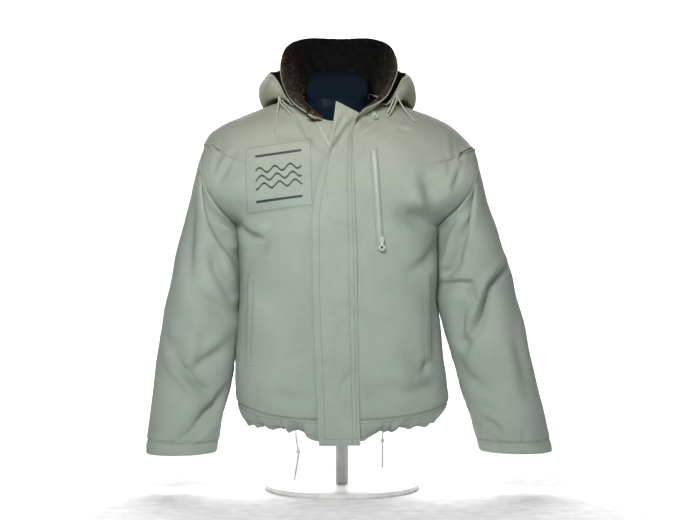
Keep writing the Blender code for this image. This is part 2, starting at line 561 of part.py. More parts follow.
def armhole_normals(side, face, v):
    """One direction at each armhole point, shared by the panels and the sleeve that meet there."""
    panel = Torso(side, face).normal(v, np.ones_like(v))
    other = Torso(side, -face).normal(v, np.ones_like(v))
    shared = np.abs(v - 1.5)[..., None] > 0.499
    panel = np.where(shared, (panel + other) / 2, panel)
    turn = face * math.pi * (1 - np.clip(v - ARMPIT, 0.0, 1.0))
    sleeve = side * normals_of(Sleeve(side), np.zeros_like(v), turn)
    both = panel + sleeve
    both[..., 2] -= ARMPIT_BIAS * np.clip(1.35 - v, 0.0, 0.35) / 0.35
    return both / np.linalg.norm(both, axis=-1, keepdims=True)


def pull_edge(grid, edge, gap):
    """Move one edge of a grid of points towards the line of points beside it."""
    views = {
        "bottom": (grid[0], grid[1]),
        "top": (grid[-1], grid[-2]),
        "first": (grid[:, 0], grid[:, 1]),
        "last": (grid[:, -1], grid[:, -2]),
    }
    line, beside = views[edge]
    way = beside - line
    line += gap * way / np.linalg.norm(way, axis=-1, keepdims=True)


def wall(name, outer, inner, material, collection, round_tube=False, smooth=True):
    """A closed solid between two grids of points that have the same rows and columns."""
    rows, columns = outer.shape[:2]
    shape = bmesh.new()
    grids = []
    for grid in (outer, inner):
        grids.append([[shape.verts.new(Vector(point)) for point in row] for row in grid])
    across = columns if round_tube else columns - 1
    for row in range(rows - 1):
        for column in range(across):
            other = (column + 1) % columns
            for grid in grids:
                corners = (grid[row][column], grid[row][other],
                           grid[row + 1][other], grid[row + 1][column])
                shape.faces.new(corners)
    rims = []
    for row in (0, rows - 1):
        for column in range(across):
            rims.append(((row, column), (row, (column + 1) % columns)))
    if not round_tube:
        for column in (0, columns - 1):
            for row in range(rows - 1):
                rims.append(((row, column), (row + 1, column)))
    for ends in rims:
        low, high = sorted(ends, key=lambda end: tuple(outer[end][::-1]))
        low_out, high_out = (grids[0][row][column] for row, column in (low, high))
        low_in, high_in = (grids[1][row][column] for row, column in (low, high))
        shape.faces.new((low_out, high_out, high_in))
        shape.faces.new((low_out, high_in, low_in))
    bmesh.ops.recalc_face_normals(shape, faces=shape.faces)
    return add_mesh(name, shape, material, collection, smooth)


def add_mesh(name, shape, material, collection, smooth=True):
    mesh = bpy.data.meshes.new(name)
    shape.to_mesh(mesh)
    shape.free()
    if smooth:
        mesh.shade_smooth()
        mesh.set_sharp_from_angle(angle=math.radians(50.0))
    mesh.materials.append(material)
    item = bpy.data.objects.new(name, mesh)
    collection.objects.link(item)
    return item


def rows_between(start, end, count):
    return np.linspace(start, end, count + 1)


BODY_ROWS = 11
ARMHOLE_ROWS = 9
SHOULDER_ROWS = 5
FRONT_COLUMNS = 12
BACK_COLUMNS = 10
HEM_COLUMNS = 22
HEM_ROWS = 2


def torso_levels():
    parts = (rows_between(CASING_SEAM, ARMPIT, BODY_ROWS),
             rows_between(ARMPIT, SHOULDER_POINT, ARMHOLE_ROWS)[1:],
             rows_between(SHOULDER_POINT, NECKLINE, SHOULDER_ROWS)[1:])
    return np.concatenate(parts)


def quarter(side, face, levels, columns):
    """Outer points and normals of a quarter of the torso, from its centre line to its edge."""
    v, c = np.meshgrid(levels, rows_between(0.0, 1.0, columns), indexing="ij")
    points, normals = Torso(side, face).grid(v, c)
    opening = (levels >= ARMPIT) & (levels <= SHOULDER_POINT)
    if opening.any():
        normals[opening, -1] = armhole_normals(side, face, levels[opening])
    return points, normals


def build_panels(cloth, collection):
    levels = torso_levels()
    guides = []
    for side, name in ((RIGHT, "front_right"), (LEFT, "front_left")):
        points, normals = quarter(side, FRONT, levels, FRONT_COLUMNS)
        guides.append(points.copy())
        inner = points - PADDED_WALL * normals
        for grid in (points, inner):
            pull_edge(grid, "first", FRONT_EDGE_GAP)
            for edge in ("last", "bottom", "top"):
                pull_edge(grid, edge, SEAM_GAP / 2)
        wall(name, points, inner, cloth, collection)
    halves = [quarter(side, BACK, levels, BACK_COLUMNS) for side in (RIGHT, LEFT)]
    points = np.concatenate((halves[0][0][:, ::-1], halves[1][0][:, 1:]), axis=1)
    normals = np.concatenate((halves[0][1][:, ::-1], halves[1][1][:, 1:]), axis=1)
    guides.append(points.copy())
    inner = points - PADDED_WALL * normals
    for grid in (points, inner):
        for edge in ("first", "last", "bottom", "top"):
            pull_edge(grid, edge, SEAM_GAP / 2)
    wall("back", points, inner, cloth, collection)
    return guides


def build_hem(cloth, collection):
    levels = rows_between(HEM, CASING_SEAM, HEM_ROWS)
    for side, name in ((RIGHT, "hem_front_right"), (LEFT, "hem_front_left")):
        points, normals = quarter(side, FRONT, levels, HEM_COLUMNS)
        inner = points - PADDED_WALL * normals
        for grid in (points, inner):
            pull_edge(grid, "first", FRONT_EDGE_GAP)
            pull_edge(grid, "last", SEAM_GAP / 2)
            pull_edge(grid, "top", HEM_TOP_GAP)
        wall(name, points, inner, cloth, collection)
    halves = [quarter(side, BACK, levels, HEM_COLUMNS) for side in (RIGHT, LEFT)]
    points = np.concatenate((halves[0][0][:, ::-1], halves[1][0][:, 1:]), axis=1)
    normals = np.concatenate((halves[0][1][:, ::-1], halves[1][1][:, 1:]), axis=1)
    inner = points - PADDED_WALL * normals
    for grid in (points, inner):
        for edge in ("first", "last"):
            pull_edge(grid, edge, SEAM_GAP / 2)
        pull_edge(grid, "top", HEM_TOP_GAP)
    wall("hem_back", points, inner, cloth, collection)


SLEEVE_ROWS = 18


def build_sleeves(cloth, collection):
    count = 2 * ARMHOLE_ROWS
    turns = np.linspace(0.0, 2 * math.pi, count, endpoint=False)
    for side, suffix in ((RIGHT, "right"), (LEFT, "left")):
        pieces = (("sleeve_" + suffix, rows_between(0.0, CUFF_SEAM, SLEEVE_ROWS)),
                  ("cuff_" + suffix, rows_between(CUFF_SEAM, 1.0, 1)))
        for name, rows in pieces:
            s, turn = np.meshgrid(rows, turns, indexing="ij")
            points, normals = Sleeve(side).grid(s, turn)
            if rows[0] == 0.0:
                for index, angle in enumerate(turns):
                    face = BACK if angle < math.pi else FRONT
                    climb = 1 - (angle if face == BACK else 2 * math.pi - angle) / math.pi
                    level = np.array([ARMPIT + climb])
                    points[0, index] = torso_edge(side, face, level)[0]
                    normals[0, index] = armhole_normals(side, face, level)[0]
            inner = points - PADDED_WALL * normals
            for grid in (points, inner):
                if rows[0] == 0.0:
                    pull_edge(grid, "bottom", SEAM_GAP / 2)
                    pull_edge(grid, "top", SEAM_GAP / 2)
                else:
                    pull_edge(grid, "bottom", SEAM_GAP / 2)
            wall(name, points, inner, cloth, collection, round_tube=True)


def neckline_point(turn):
    """Point of the neckline; turn is in degrees from the front, over the wearer's right."""
    side = RIGHT if turn <= 180.0 else LEFT
    from_front = turn if side == RIGHT else 360.0 - turn
    face = FRONT if from_front <= 90.0 else BACK
    c = from_front / 90.0 if face == FRONT else (180.0 - from_front) / 90.0
    return torso_plain(side, face, NECKLINE, c)


COLLAR_COLUMNS = 25
COLLAR_HEIGHTS = (0.0, 0.25, 0.5, 0.75, 1.0)


def collar_surface():
    """Rows of points up the outside of the collar, and its normals."""
    turns = np.linspace(COLLAR_TOP[0].turn, COLLAR_TOP[-1].turn, COLLAR_COLUMNS + 1)
    base = np.array([neckline_point(turn) for turn in turns])
    top = np.stack([smooth_column(COLLAR_TOP, axis, turns) for axis in "xyz"], axis=-1)
    bulge = smooth_column(COLLAR_TOP, "bulge", turns)
    lip = smooth_column(COLLAR_TOP, "lip", turns)
    along = np.gradient(base, axis=0)
    out = np.stack((-along[:, 1], along[:, 0], np.zeros(len(turns))), axis=-1)
    out = out / np.linalg.norm(out, axis=-1, keepdims=True)
    centre = base.mean(axis=0)
    flip = np.sign(np.sum(out * (base - centre), axis=-1, keepdims=True))
    out = out * flip
    points = np.array([base + (top - base) * height
                       + out * (bulge * math.sin(math.pi * height))[:, None]
                       for height in COLLAR_HEIGHTS])
    up = np.gradient(points, axis=0)
    across = np.gradient(points, axis=1)
    normals = np.cross(up, across)
    normals = normals / np.linalg.norm(normals, axis=-1, keepdims=True)
    facing = np.sign(np.sum(normals * out[None], axis=-1, keepdims=True))
    return points, normals * facing, lip


def build_collar(cloth, pile, collection):
    points, normals, lip = collar_surface()
    inner = points - SHELL_WALL * normals
    for grid in (points, inner):
        pull_edge(grid, "bottom", SEAM_GAP / 2)
    wall("collar_shell", points, inner, cloth, collection)
    facing = points - (SHELL_WALL + SEAM_GAP) * normals
    thick = np.array([0.6, 0.8, 1.0, 1.0, 0.9])[:, None, None] * PILE_WALL
    back = points - (SHELL_WALL + SEAM_GAP) * normals - thick * normals
    rise = points[-1] - points[-2]
    rise = rise / np.linalg.norm(rise, axis=-1, keepdims=True)
    over = facing[-1] + rise * (lip[:, None] + 0.0005) + normals[-1] * lip[:, None] * 0.35
    under = back[-1] + rise * (lip[:, None] * 0.7 + 0.0005)
    facing = np.concatenate((facing, over[None]))
    back = np.concatenate((back, under[None]))
    for grid in (facing, back):
        pull_edge(grid, "bottom", SEAM_GAP / 2)
    wall("collar_pile", facing, back, pile, collection)


HOOD_COLUMNS = 24
HOOD_PROFILE_ROWS = 10


def hood_surface(tree):
    start = HOOD_CUTS[0].turn
    turns = np.linspace(start, 360.0 - start, HOOD_COLUMNS + 1)
    folded = np.where(turns <= 180.0, turns, 360.0 - turns)
    base = np.array([neckline_point(turn) for turn in turns])
    along = np.gradient(base, axis=0)
    out = np.stack((-along[:, 1], along[:, 0]), axis=-1)
    out = out / np.linalg.norm(out, axis=-1, keepdims=True)
    out = out * np.sign(np.sum(out * (base[:, :2] - base[:, :2].mean(axis=0)), axis=-1,
                               keepdims=True))
    knots = np.array([row.turn for row in HOOD_CUTS])
    marks = np.arange(len(HOOD_CUTS[0].out), dtype=float)
    fine = np.linspace(0.0, marks[-1], HOOD_PROFILE_ROWS + 1)
    reach = np.where(turns <= 180.0, 1.0, HOOD_LEFT_REACH)
    blend = np.clip(np.abs(turns - 180.0) / 40.0, 0.0, 1.0)
    reach = 1.0 - (1.0 - reach) * blend
    rows = []
    for mark in fine:
        outs = np.array([smooth_values(marks, np.array(row.out), mark) for row in HOOD_CUTS])
        ups = np.array([smooth_values(marks, np.array(row.up), mark) for row in HOOD_CUTS])
        distance = smooth_values(knots, outs, folded) * reach
        height = smooth_values(knots, ups, folded)
        flat = base[:, :2] + out * distance[:, None]
        rows.append(np.column_stack((flat, base[:, 2] + height)))
    points = np.array(rows)
    clear = np.full(points.shape[:2], HOOD_CLEAR)
    clear[0] = HOOD_SEAM_CLEAR
    rest_on(tree, points, clear)
    normals = np.cross(np.gradient(points, axis=1), np.gradient(points, axis=0))
    normals = normals / np.linalg.norm(normals, axis=-1, keepdims=True)
    return points, normals


def rest_on(tree, points, clear):
    """Raise points that would sink into the cloth under them."""
    for point, gap in zip(points.reshape(-1, 3), clear.reshape(-1)):
        below, _, _, _ = tree.ray_cast(Vector((point[0], point[1], 1.0)), Vector((0.0, 0.0, -1.0)))
        if below is not None:
            point[2] = max(point[2], below.z + gap)


def build_hood(cloth, tree, collection):
    points, normals = hood_surface(tree)
    outside = points[-4] - points[-4].mean(axis=0)
    if np.sum(normals[-4] * outside) < 0:
        normals = -normals
    wall("hood", points, points - SHELL_WALL * normals, cloth, collection)
    return guide_tree([points])


def guide_tree(grids):
    """A ray-cast tree over the outer faces of the panels."""
    points = []
    faces = []
    for grid in grids:
        rows, columns = grid.shape[:2]
        first = len(points)
        points.extend(Vector(point) for point in grid.reshape(-1, 3))
        for row in range(rows - 1):
            for column in range(columns - 1):
                corner = first + row * columns + column
                faces.append((corner, corner + 1, corner + columns + 1, corner + columns))
    return BVHTree.FromPolygons(points, faces)


def on_front(tree, x, z):
    """Point and outward normal of the front, straight ahead of a place given as x and z."""
    point, normal, _, _ = tree.ray_cast(Vector((x, -1.0, z)), Vector((0.0, 1.0, 0.0)))
    if normal.y > 0:
        normal = -normal
    return np.array(point), np.array(normal)


def laid_on_front(name, quad, rows, columns, lift, thickness, tree, material, collection):
    """A flat trim piece that follows the panel under it."""
    outer = np.empty((rows + 1, columns + 1, 3))
    inner = np.empty((rows + 1, columns + 1, 3))
    for row in range(rows + 1):
        for column in range(columns + 1):
            u = column / columns
            w = row / rows
            low_x = quad.x0 + (quad.x1 - quad.x0) * u
            high_x = quad.x3 + (quad.x2 - quad.x3) * u
            low_z = quad.z0 + (quad.z1 - quad.z0) * u
            high_z = quad.z3 + (quad.z2 - quad.z3) * u
            point, normal = on_front(tree, low_x + (high_x - low_x) * w,
                                     low_z + (high_z - low_z) * w)
            inner[row, column] = point + normal * lift
            outer[row, column] = point + normal * (lift + thickness)
    return wall(name, outer, inner, material, collection)


FLAP_GUIDE_FOOT = 0.150       # below this the flap follows the front straight down
FLAP_ROWS = 20
FLAP_COLUMNS = 4


def front_reach(tree, x, z):
    """How far forward the front lies, carried on straight above the neckline."""
    top = smooth_column(CENTRE_LINES, "front_z", NECKLINE) - 0.006
    point, _ = on_front(tree, x, min(z, float(top)))
    lean = -0.30 * max(0.0, z - float(top))
    return point[1] + lean


def build_flap(cloth, tree, collection):
    heights = np.linspace(STORM_FLAP[0].z, STORM_FLAP[-1].z, FLAP_ROWS + 1)
    outer = np.empty((FLAP_ROWS + 1, FLAP_COLUMNS + 1, 3))
    for row, z in enumerate(heights):
        free_x = smooth_column(STORM_FLAP, "free_x", z)
        seam_x = smooth_column(STORM_FLAP, "seam_x", z)
        lift = smooth_column(STORM_FLAP, "lift", z)
        raised = max(0.0, (z - 0.64) / (heights[-1] - 0.64)) ** 2 * FLAP_TIP_RISE
        for column in range(FLAP_COLUMNS + 1):
            u = column / FLAP_COLUMNS
            x = free_x + (seam_x - free_x) * u
            rise = raised * (1 - u)
            proud = SHELL_WALL + 1.6 * MM + lift * (1 - u) ** 0.8
            reach = front_reach(tree, x, max(z, FLAP_GUIDE_FOOT))
            outer[row, column] = (x, reach - proud, z + rise)
    inner = outer + np.array((0.0, SHELL_WALL, 0.0))
    wall("storm_flap", outer, inner, cloth, collection)


ZIP_TAPE_C = 0.045            # the tape reaches this far along each front section
ZIP_BEHIND = 1.7 * MM


def build_main_zip(tape, collection):
    levels = rows_between(HEM + 0.02, NECKLINE - 0.04, 18)
    columns = []
    for side, c in ((RIGHT, ZIP_TAPE_C), (RIGHT, 0.0), (LEFT, ZIP_TAPE_C)):
        grid, normals = Torso(side, FRONT).grid(levels, np.full_like(levels, c))
        columns.append((grid, normals))
    points = np.stack([grid for grid, _ in columns], axis=1)
    normals = np.stack([normal for _, normal in columns], axis=1)
    outer = points - (PADDED_WALL + ZIP_BEHIND) * normals
    wall("main_zip", outer, outer - TRIM_WALL * normals, tape, collection)


Place = namedtuple("Place", "origin right up out")


def place_on(tree, x, z, lift):
    """A frame lying on the front: its origin a little above the cloth, out along the normal."""
    point, normal = on_front(tree, x, z)
    out = Vector(normal).normalized()
    right = Vector((0.0, 0.0, 1.0)).cross(-out).normalized() * -1.0
    if right.x < 0:
        right = -right
    up = right.cross(-out).normalized()
    if up.z < 0:
        up = -up
    return Place(Vector(point) + out * lift, right, up, out)


def place_matrix(place, offset):
    """World matrix whose X is across, Y is out of the cloth and Z is up along it."""
    origin = (place.origin + place.right * offset[0] + place.out * offset[1]
              + place.up * offset[2])
    rotation = Matrix((place.right, -place.out, place.up)).transposed()
    return Matrix.Translation(origin) @ rotation.to_4x4()


def add_box(name, size, matrix, material, collection):
    shape = bmesh.new()
    bmesh.ops.create_cube(shape, size=1.0)
    for vertex in shape.verts:
        vertex.co = Vector((vertex.co.x * size[0], vertex.co.y * size[1], vertex.co.z * size[2]))
    item = add_mesh(name, shape, material, collection, smooth=False)
    item.matrix_world = matrix
    return item


def add_guide(item):
    item.hide_render = True
    item.display_type = "WIRE"


def build_slider(name, slider, tree, material, collection, cutters):
    """A slider with two ears that hold its pull tab's axis."""
    place = place_on(tree, slider.x, slider.z, slider.lift)
    body = add_box(name, (SLIDER_WIDTH, SLIDER_DEPTH, SLIDER_HEIGHT),
                   place_matrix(place, (0.0, SLIDER_DEPTH / 2, 0.0)), material, collection)
    ear_out = SLIDER_DEPTH + EAR_DEPTH / 2 - EAR_SINK
    ear_x = PULL_NECK_WIDTH / 2 + SEAM_GAP + EAR_WIDTH / 2
    for side in (RIGHT, LEFT):
        ear = add_box(name + "_ear" + str(side + 1), (EAR_WIDTH, EAR_DEPTH, EAR_HEIGHT),
                      place_matrix(place, (side * ear_x, ear_out, 0.0)), material, cutters)
        add_guide(ear)
        union = body.modifiers.new("ear", "BOOLEAN")
        union.operation = "UNION"
        union.object = ear
    return place


def pull_outline(length):
    """Outline of a pull tab that hangs down from its axis: a narrow neck and a round end."""
    radius = PULL_WIDTH / 2
    centre = -(length - radius)
    half_neck = PULL_NECK_WIDTH / 2
    start = math.asin(half_neck / radius)
    points = [(half_neck, PULL_ABOVE_AXIS), (-half_neck, PULL_ABOVE_AXIS)]
    steps = 16
    for step in range(steps + 1):
        angle = start + (2 * math.pi - 2 * start) * step / steps
        points.append((-radius * math.sin(angle), centre + radius * math.cos(angle)))
    return points, centre


def build_pull(name, slider, place, material, collection):
    points, centre = pull_outline(slider.pull_length)
    hole = [(PULL_HOLE * math.cos(2 * math.pi * step / 14),
             centre + PULL_HOLE * math.sin(2 * math.pi * step / 14)) for step in range(14)]
    flat = bpy.data.curves.new(name, "CURVE")
    flat.dimensions = "2D"
    flat.fill_mode = "BOTH"
    flat.extrude = PULL_THICKNESS / 2
    for outline in (points, hole):
        spline = flat.splines.new("POLY")
        spline.points.add(len(outline) - 1)
        for point, (x, y) in zip(spline.points, outline):
            point.co = (x, y, 0.0, 1.0)
        spline.use_cyclic_u = True
    flat.materials.append(material)
    item = bpy.data.objects.new(name, flat)
    collection.objects.link(item)
    matrix = place_matrix(place, (0.0, SLIDER_DEPTH + AXIS_ABOVE_SLIDER, 0.0))
    item.matrix_world = matrix @ Matrix.Rotation(math.radians(90.0), 4, "X")
    return item


def smooth_route(points, per_span):
    """Points along a smooth curve through a route's own points."""
    route = np.array(points)
    knots = np.arange(len(route), dtype=float)
    fine = np.linspace(0.0, knots[-1], (len(route) - 1) * per_span + 1)
    return np.stack([smooth_values(knots, route[:, axis], fine) for axis in range(3)], axis=-1)


def build_cord(name, route, material, collection):
    tube = bpy.data.curves.new(name, "CURVE")
    tube.dimensions = "3D"
    tube.bevel_depth = CORD_DIAMETER / 2
    tube.bevel_resolution = 2
    tube.use_fill_caps = True
    points = smooth_route(route, POINTS_PER_SPAN)
    spline = tube.splines.new("POLY")
    spline.points.add(len(points) - 1)
    for point, place in zip(spline.points, points):
        point.co = (*place, 1.0)
    tube.materials.append(material)
    item = bpy.data.objects.new(name, tube)
    collection.objects.link(item)


def build_ball(name, centre, width, height, material, collection):
    bpy.ops.mesh.primitive_uv_sphere_add(segments=12, ring_count=7, radius=0.5)
    ball = bpy.context.object
    ball.name = name
    for vertex in ball.data.vertices:
        vertex.co = Vector((vertex.co.x * width, vertex.co.y * width, vertex.co.z * height))
    ball.location = centre
    ball.data.shade_smooth()
    ball.data.materials.append(material)
    move_to(ball, collection)


def build_eyelet(name, tree, x, z, material, collection):
    place = place_on(tree, x, z, EYELET_WIRE + 2 * SEAM_GAP)
    bpy.ops.mesh.primitive_torus_add(major_segments=14, minor_segments=6,
                                     major_radius=EYELET_RING, minor_radius=EYELET_WIRE)
    ring = bpy.context.object
    ring.name = name
    ring.data.shade_smooth()
    ring.matrix_world = place_matrix(place, (0, 0, 0)) @ Matrix.Rotation(math.pi / 2, 4, "X")
    ring.data.materials.append(material)
    move_to(ring, collection)


def build_cords(tree, cord, metal, collection):
    for name, route in CORD_ROUTES.items():
        build_cord(name, route, cord, collection)
    for side in ("right", "left"):
        build_ball("hood_knot_" + side, HOOD_KNOTS[side], KNOT_DIAMETER, KNOT_DIAMETER, cord,
                   collection)
        build_ball("hem_stop_" + side, HEM_STOPS[side], STOP_DIAMETER, STOP_HEIGHT, metal,
                   collection)
        build_eyelet("hood_eyelet_" + side, tree, *HOOD_EYELETS[side], metal, collection)


def form_ring(row, count):
    """Ring of points of the form through its front, back and two sides."""
    points = []
    for index in range(count):
        angle = 2 * math.pi * index / count
        across = math.sin(angle)
        ahead = math.cos(angle)
        side_x, side_z = (row.left_x, row.left_z) if across > 0 else (-row.right_x, row.right_z)
        far_y, far_z = (row.front_y, row.front_z) if ahead > 0 else (row.back_y, row.back_z)
        centre_x = (row.left_x - row.right_x) / 2
        middle_y = row.side_y
        x = centre_x + (side_x - centre_x) * abs(across) ** row.power
        y = middle_y + (far_y - middle_y) * abs(ahead) ** row.power
        z = side_z + (far_z - side_z) * abs(ahead) ** row.power
        points.append(Vector((x, y, z)))
    return points


FORM_COLUMNS = 24


def form_rows():
    rows = list(FORM_TRUNK)
    for seat in FORM_SEATS:
        rests = []
        for side in (RIGHT, LEFT):
            edge = Torso(side, FRONT)
            v = np.array([seat.v])
            point = edge(v, np.ones(1))[0]
            normal = edge.normal(v, np.ones(1))[0]
            rests.append(point - (PADDED_WALL + FORM_CLEAR) * normal)
        rows.append(FormRow(seat.front_y, seat.front_z, seat.back_y, seat.back_z,
                            -rests[0][0], rests[0][2], rests[1][0], rests[1][2], rests[0][1],
                            FORM_TRUNK[-1].power))
    rows.extend(FORM_NECK)
    return rows


def build_form(material, collection):
    shape = bmesh.new()
    rings = []
    for row in form_rows():
        rings.append([shape.verts.new(point) for point in form_ring(row, FORM_COLUMNS)])
    for low, high in zip(rings, rings[1:]):
        for index in range(FORM_COLUMNS):
            other = (index + 1) % FORM_COLUMNS
            shape.faces.new((low[index], low[other], high[other], high[index]))
    shape.faces.new(rings[0])
    shape.faces.new(rings[-1])
    bmesh.ops.recalc_face_normals(shape, faces=shape.faces)
    add_mesh("torso_form", shape, material, collection)


def build_stand(material, collection):
    bpy.ops.mesh.primitive_cylinder_add(vertices=40, radius=BASE_RADIUS, depth=BASE_HEIGHT,
                                        location=(0.0, 0.0, BASE_HEIGHT / 2))
    base = bpy.context.object
    base.name = "stand_base"
    edge = base.modifiers.new("edge", "BEVEL")
    edge.width = BASE_EDGE
    edge.segments = 1
    edge.limit_method = "ANGLE"
    length = POLE_TOP - BASE_HEIGHT - SEAM_GAP
    bpy.ops.mesh.primitive_cylinder_add(
        vertices=24, radius=POLE_RADIUS, depth=length,
        location=(0.0, 0.0, BASE_HEIGHT + SEAM_GAP + length / 2))
    pole = bpy.context.object
    pole.name = "stand_pole"
    for item in (base, pole):
        item.data.materials.append(material)
        move_to(item, collection)


def move_to(item, collection):
    for other in list(item.users_collection):
        other.objects.unlink(item)
    collection.objects.link(item)


def main():
    clear_scene()
    collection = bpy.data.collections.new("deck_jacket")
    cutters = bpy.data.collections.new("cutters")
    for group in (collection, cutters):
        bpy.context.scene.collection.children.link(group)
    cloth = make_material("shell", 0.85)
    pile = make_material("pile", 0.95)
    cord = make_material("cord", 0.80)
    metal = make_material("metal", 0.35, 0.8)
    form = make_material("form", 0.12)
    stand = make_material("stand", 0.40)
    guides = build_panels(cloth, collection)
    tree = guide_tree(guides)
    build_hem(cloth, collection)
    build_sleeves(cloth, collection)
    build_collar(cloth, pile, collection)
    hood_tree = build_hood(cloth, tree, collection)
    build_flap(cloth, tree, collection)
    build_main_zip(cord, collection)
    laid_on_front("chest_patch", CHEST_PATCH, 10, 10, ON_CLOTH, TRIM_WALL, tree, cloth, collection)
    laid_on_front("chest_welt", CHEST_WELT, 16, 2, ON_CLOTH_NARROW, TRIM_WALL, tree, cloth, collection)
    laid_on_front("chest_zip", CHEST_TAPE, 16, 1, ON_TRIM, TRIM_WALL, tree, cord, collection)
    laid_on_front("pocket_right", RIGHT_POCKET, 14, 2, ON_CLOTH_NARROW, TRIM_WALL, tree, cloth, collection)
    laid_on_front("pocket_left", LEFT_POCKET, 14, 2, ON_CLOTH_NARROW, TRIM_WALL, tree, cloth, collection)
    laid_on_front("under_flap", UNDER_FLAP, 6, 3, ON_CLOTH, TRIM_WALL, tree, cloth, collection)
    laid_on_front("main_zip_top", ZIP_TOP, 6, 1, ON_FLAP_BASE, TRIM_WALL, tree, cord, collection)
    place = build_slider("chest_slider", CHEST_SLIDER, tree, metal, collection, cutters)
    build_pull("chest_pull", CHEST_SLIDER, place, metal, collection)
    place = build_slider("collar_slider", COLLAR_SLIDER, tree, metal, collection, cutters)
    build_pull("collar_pull", COLLAR_SLIDER, place, metal, collection)
    build_cords(hood_tree, cord, metal, collection)
    build_form(form, collection)
    build_stand(stand, collection)


main()
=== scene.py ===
"""Looks of the deck jacket: cloth, pile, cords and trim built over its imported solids.

Metres, +Z up, in the part's own frame. The front faces -Y and left and right are the wearer's.
The cloth is read from the same smooth surfaces as the solids, on finer grids and with the small
creases, seam puckers and gathers that the solids leave out.
"""
import math
from collections import namedtuple

import bpy
import numpy as np
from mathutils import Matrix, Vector
from mathutils.bvhtree import BVHTree


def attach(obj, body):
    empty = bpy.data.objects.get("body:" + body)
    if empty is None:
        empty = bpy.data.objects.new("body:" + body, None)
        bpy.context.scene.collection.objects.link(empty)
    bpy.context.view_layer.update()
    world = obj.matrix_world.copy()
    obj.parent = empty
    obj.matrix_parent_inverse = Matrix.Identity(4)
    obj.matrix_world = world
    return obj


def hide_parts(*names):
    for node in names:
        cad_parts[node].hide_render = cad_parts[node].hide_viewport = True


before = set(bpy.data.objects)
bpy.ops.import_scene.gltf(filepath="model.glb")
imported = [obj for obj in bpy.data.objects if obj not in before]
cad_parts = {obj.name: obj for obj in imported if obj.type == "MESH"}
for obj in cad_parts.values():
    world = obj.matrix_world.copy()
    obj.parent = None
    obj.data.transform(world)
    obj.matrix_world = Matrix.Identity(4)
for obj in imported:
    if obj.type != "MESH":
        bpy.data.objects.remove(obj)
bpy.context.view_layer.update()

MM = 0.001

PADDED_WALL = 4.0 * MM        # shell, wadding and lining of the body and sleeves
SHELL_WALL = 2.0 * MM         # doubled shell cloth: collar, hood and flap
TRIM_WALL = 1.2 * MM          # patch, welts and tapes
PILE_WALL = 8.0 * MM          # dense pile on the inside of the collar
SEAM_GAP = 0.3 * MM
FRONT_EDGE_GAP = 1.2 * MM     # each front edge stops short of the zip's teeth
RIGHT = -1
LEFT = 1
FRONT = -1
BACK = 1

# Sections up the torso: 0 is the casing seam, 1 the armpit, 2 the shoulder point, 3 the neckline.
HEM = -0.15
CASING_SEAM = 0.0
ARMPIT = 1.0
SHOULDER_POINT = 2.0
NECKLINE = 3.0

ZIP_X = -0.006
BACK_CENTRE_X = -0.003

Centre = namedtuple("Centre", "v front_y front_z back_y back_z squareness")
CENTRE_LINES = (
    Centre(-0.15, -0.110, 0.1240, 0.106, 0.126, 0.80),
    Centre(-0.10, -0.119, 0.1300, 0.114, 0.136, 0.80),
    Centre(-0.05, -0.125, 0.1380, 0.119, 0.148, 0.80),
    Centre(0.00, -0.128, 0.1450, 0.122, 0.160, 0.80),
    Centre(0.12, -0.132, 0.1900, 0.125, 0.200, 0.80),
    Centre(0.30, -0.133, 0.2500, 0.125, 0.258, 0.80),
    Centre(0.50, -0.132, 0.3200, 0.122, 0.328, 0.80),
    Centre(0.70, -0.134, 0.3900, 0.121, 0.400, 0.79),
    Centre(0.86, -0.138, 0.4500, 0.123, 0.460, 0.78),
    Centre(1.00, -0.141, 0.5020, 0.125, 0.512, 0.78),
    Centre(1.50, -0.142, 0.5650, 0.126, 0.582, 0.79),
    Centre(2.00, -0.139, 0.6200, 0.124, 0.652, 0.82),
    Centre(2.30, -0.134, 0.6500, 0.121, 0.694, 0.86),
    Centre(2.60, -0.126, 0.6770, 0.115, 0.734, 0.90),
    Centre(2.80, -0.120, 0.6920, 0.108, 0.762, 0.94),
    Centre(3.00, -0.113, 0.7060, 0.098, 0.790, 1.00),
)

Side = namedtuple("Side", "v right_x right_z left_x left_z y")
SIDE_SEAMS = (
    Side(-0.15, 0.1790, 0.1270, 0.1760, 0.1320, 0.000),
    Side(-0.10, 0.1910, 0.1415, 0.1890, 0.1440, 0.000),
    Side(-0.05, 0.1990, 0.1564, 0.1990, 0.1570, 0.000),
    Side(0.00, 0.2030, 0.1720, 0.2050, 0.1700, 0.000),
    Side(0.12, 0.2055, 0.2000, 0.2035, 0.2000, 0.000),
    Side(0.30, 0.2055, 0.2550, 0.1970, 0.2550, 0.000),
    Side(0.50, 0.2020, 0.3200, 0.1895, 0.3200, 0.000),
    Side(0.70, 0.1960, 0.3900, 0.1800, 0.3900, 0.000),
    Side(0.86, 0.1930, 0.4500, 0.1755, 0.4500, 0.000),
    Side(0.95, 0.1945, 0.4880, 0.1760, 0.4880, 0.000),
    Side(1.00, 0.2013, 0.5086, 0.1820, 0.5086, 0.000),
)
SHOULDER_SEAMS = (
    Side(2.00, 0.2680, 0.6600, 0.2594, 0.6500, 0.004),
    Side(2.10, 0.2600, 0.6850, 0.2440, 0.6745, 0.006),
    Side(2.25, 0.2400, 0.7024, 0.2200, 0.6990, 0.008),
    Side(2.50, 0.1930, 0.7260, 0.1810, 0.7220, 0.010),
    Side(2.75, 0.1400, 0.7460, 0.1320, 0.7410, 0.008),
    Side(3.00, 0.0850, 0.7650, 0.0830, 0.7620, 0.004),
)

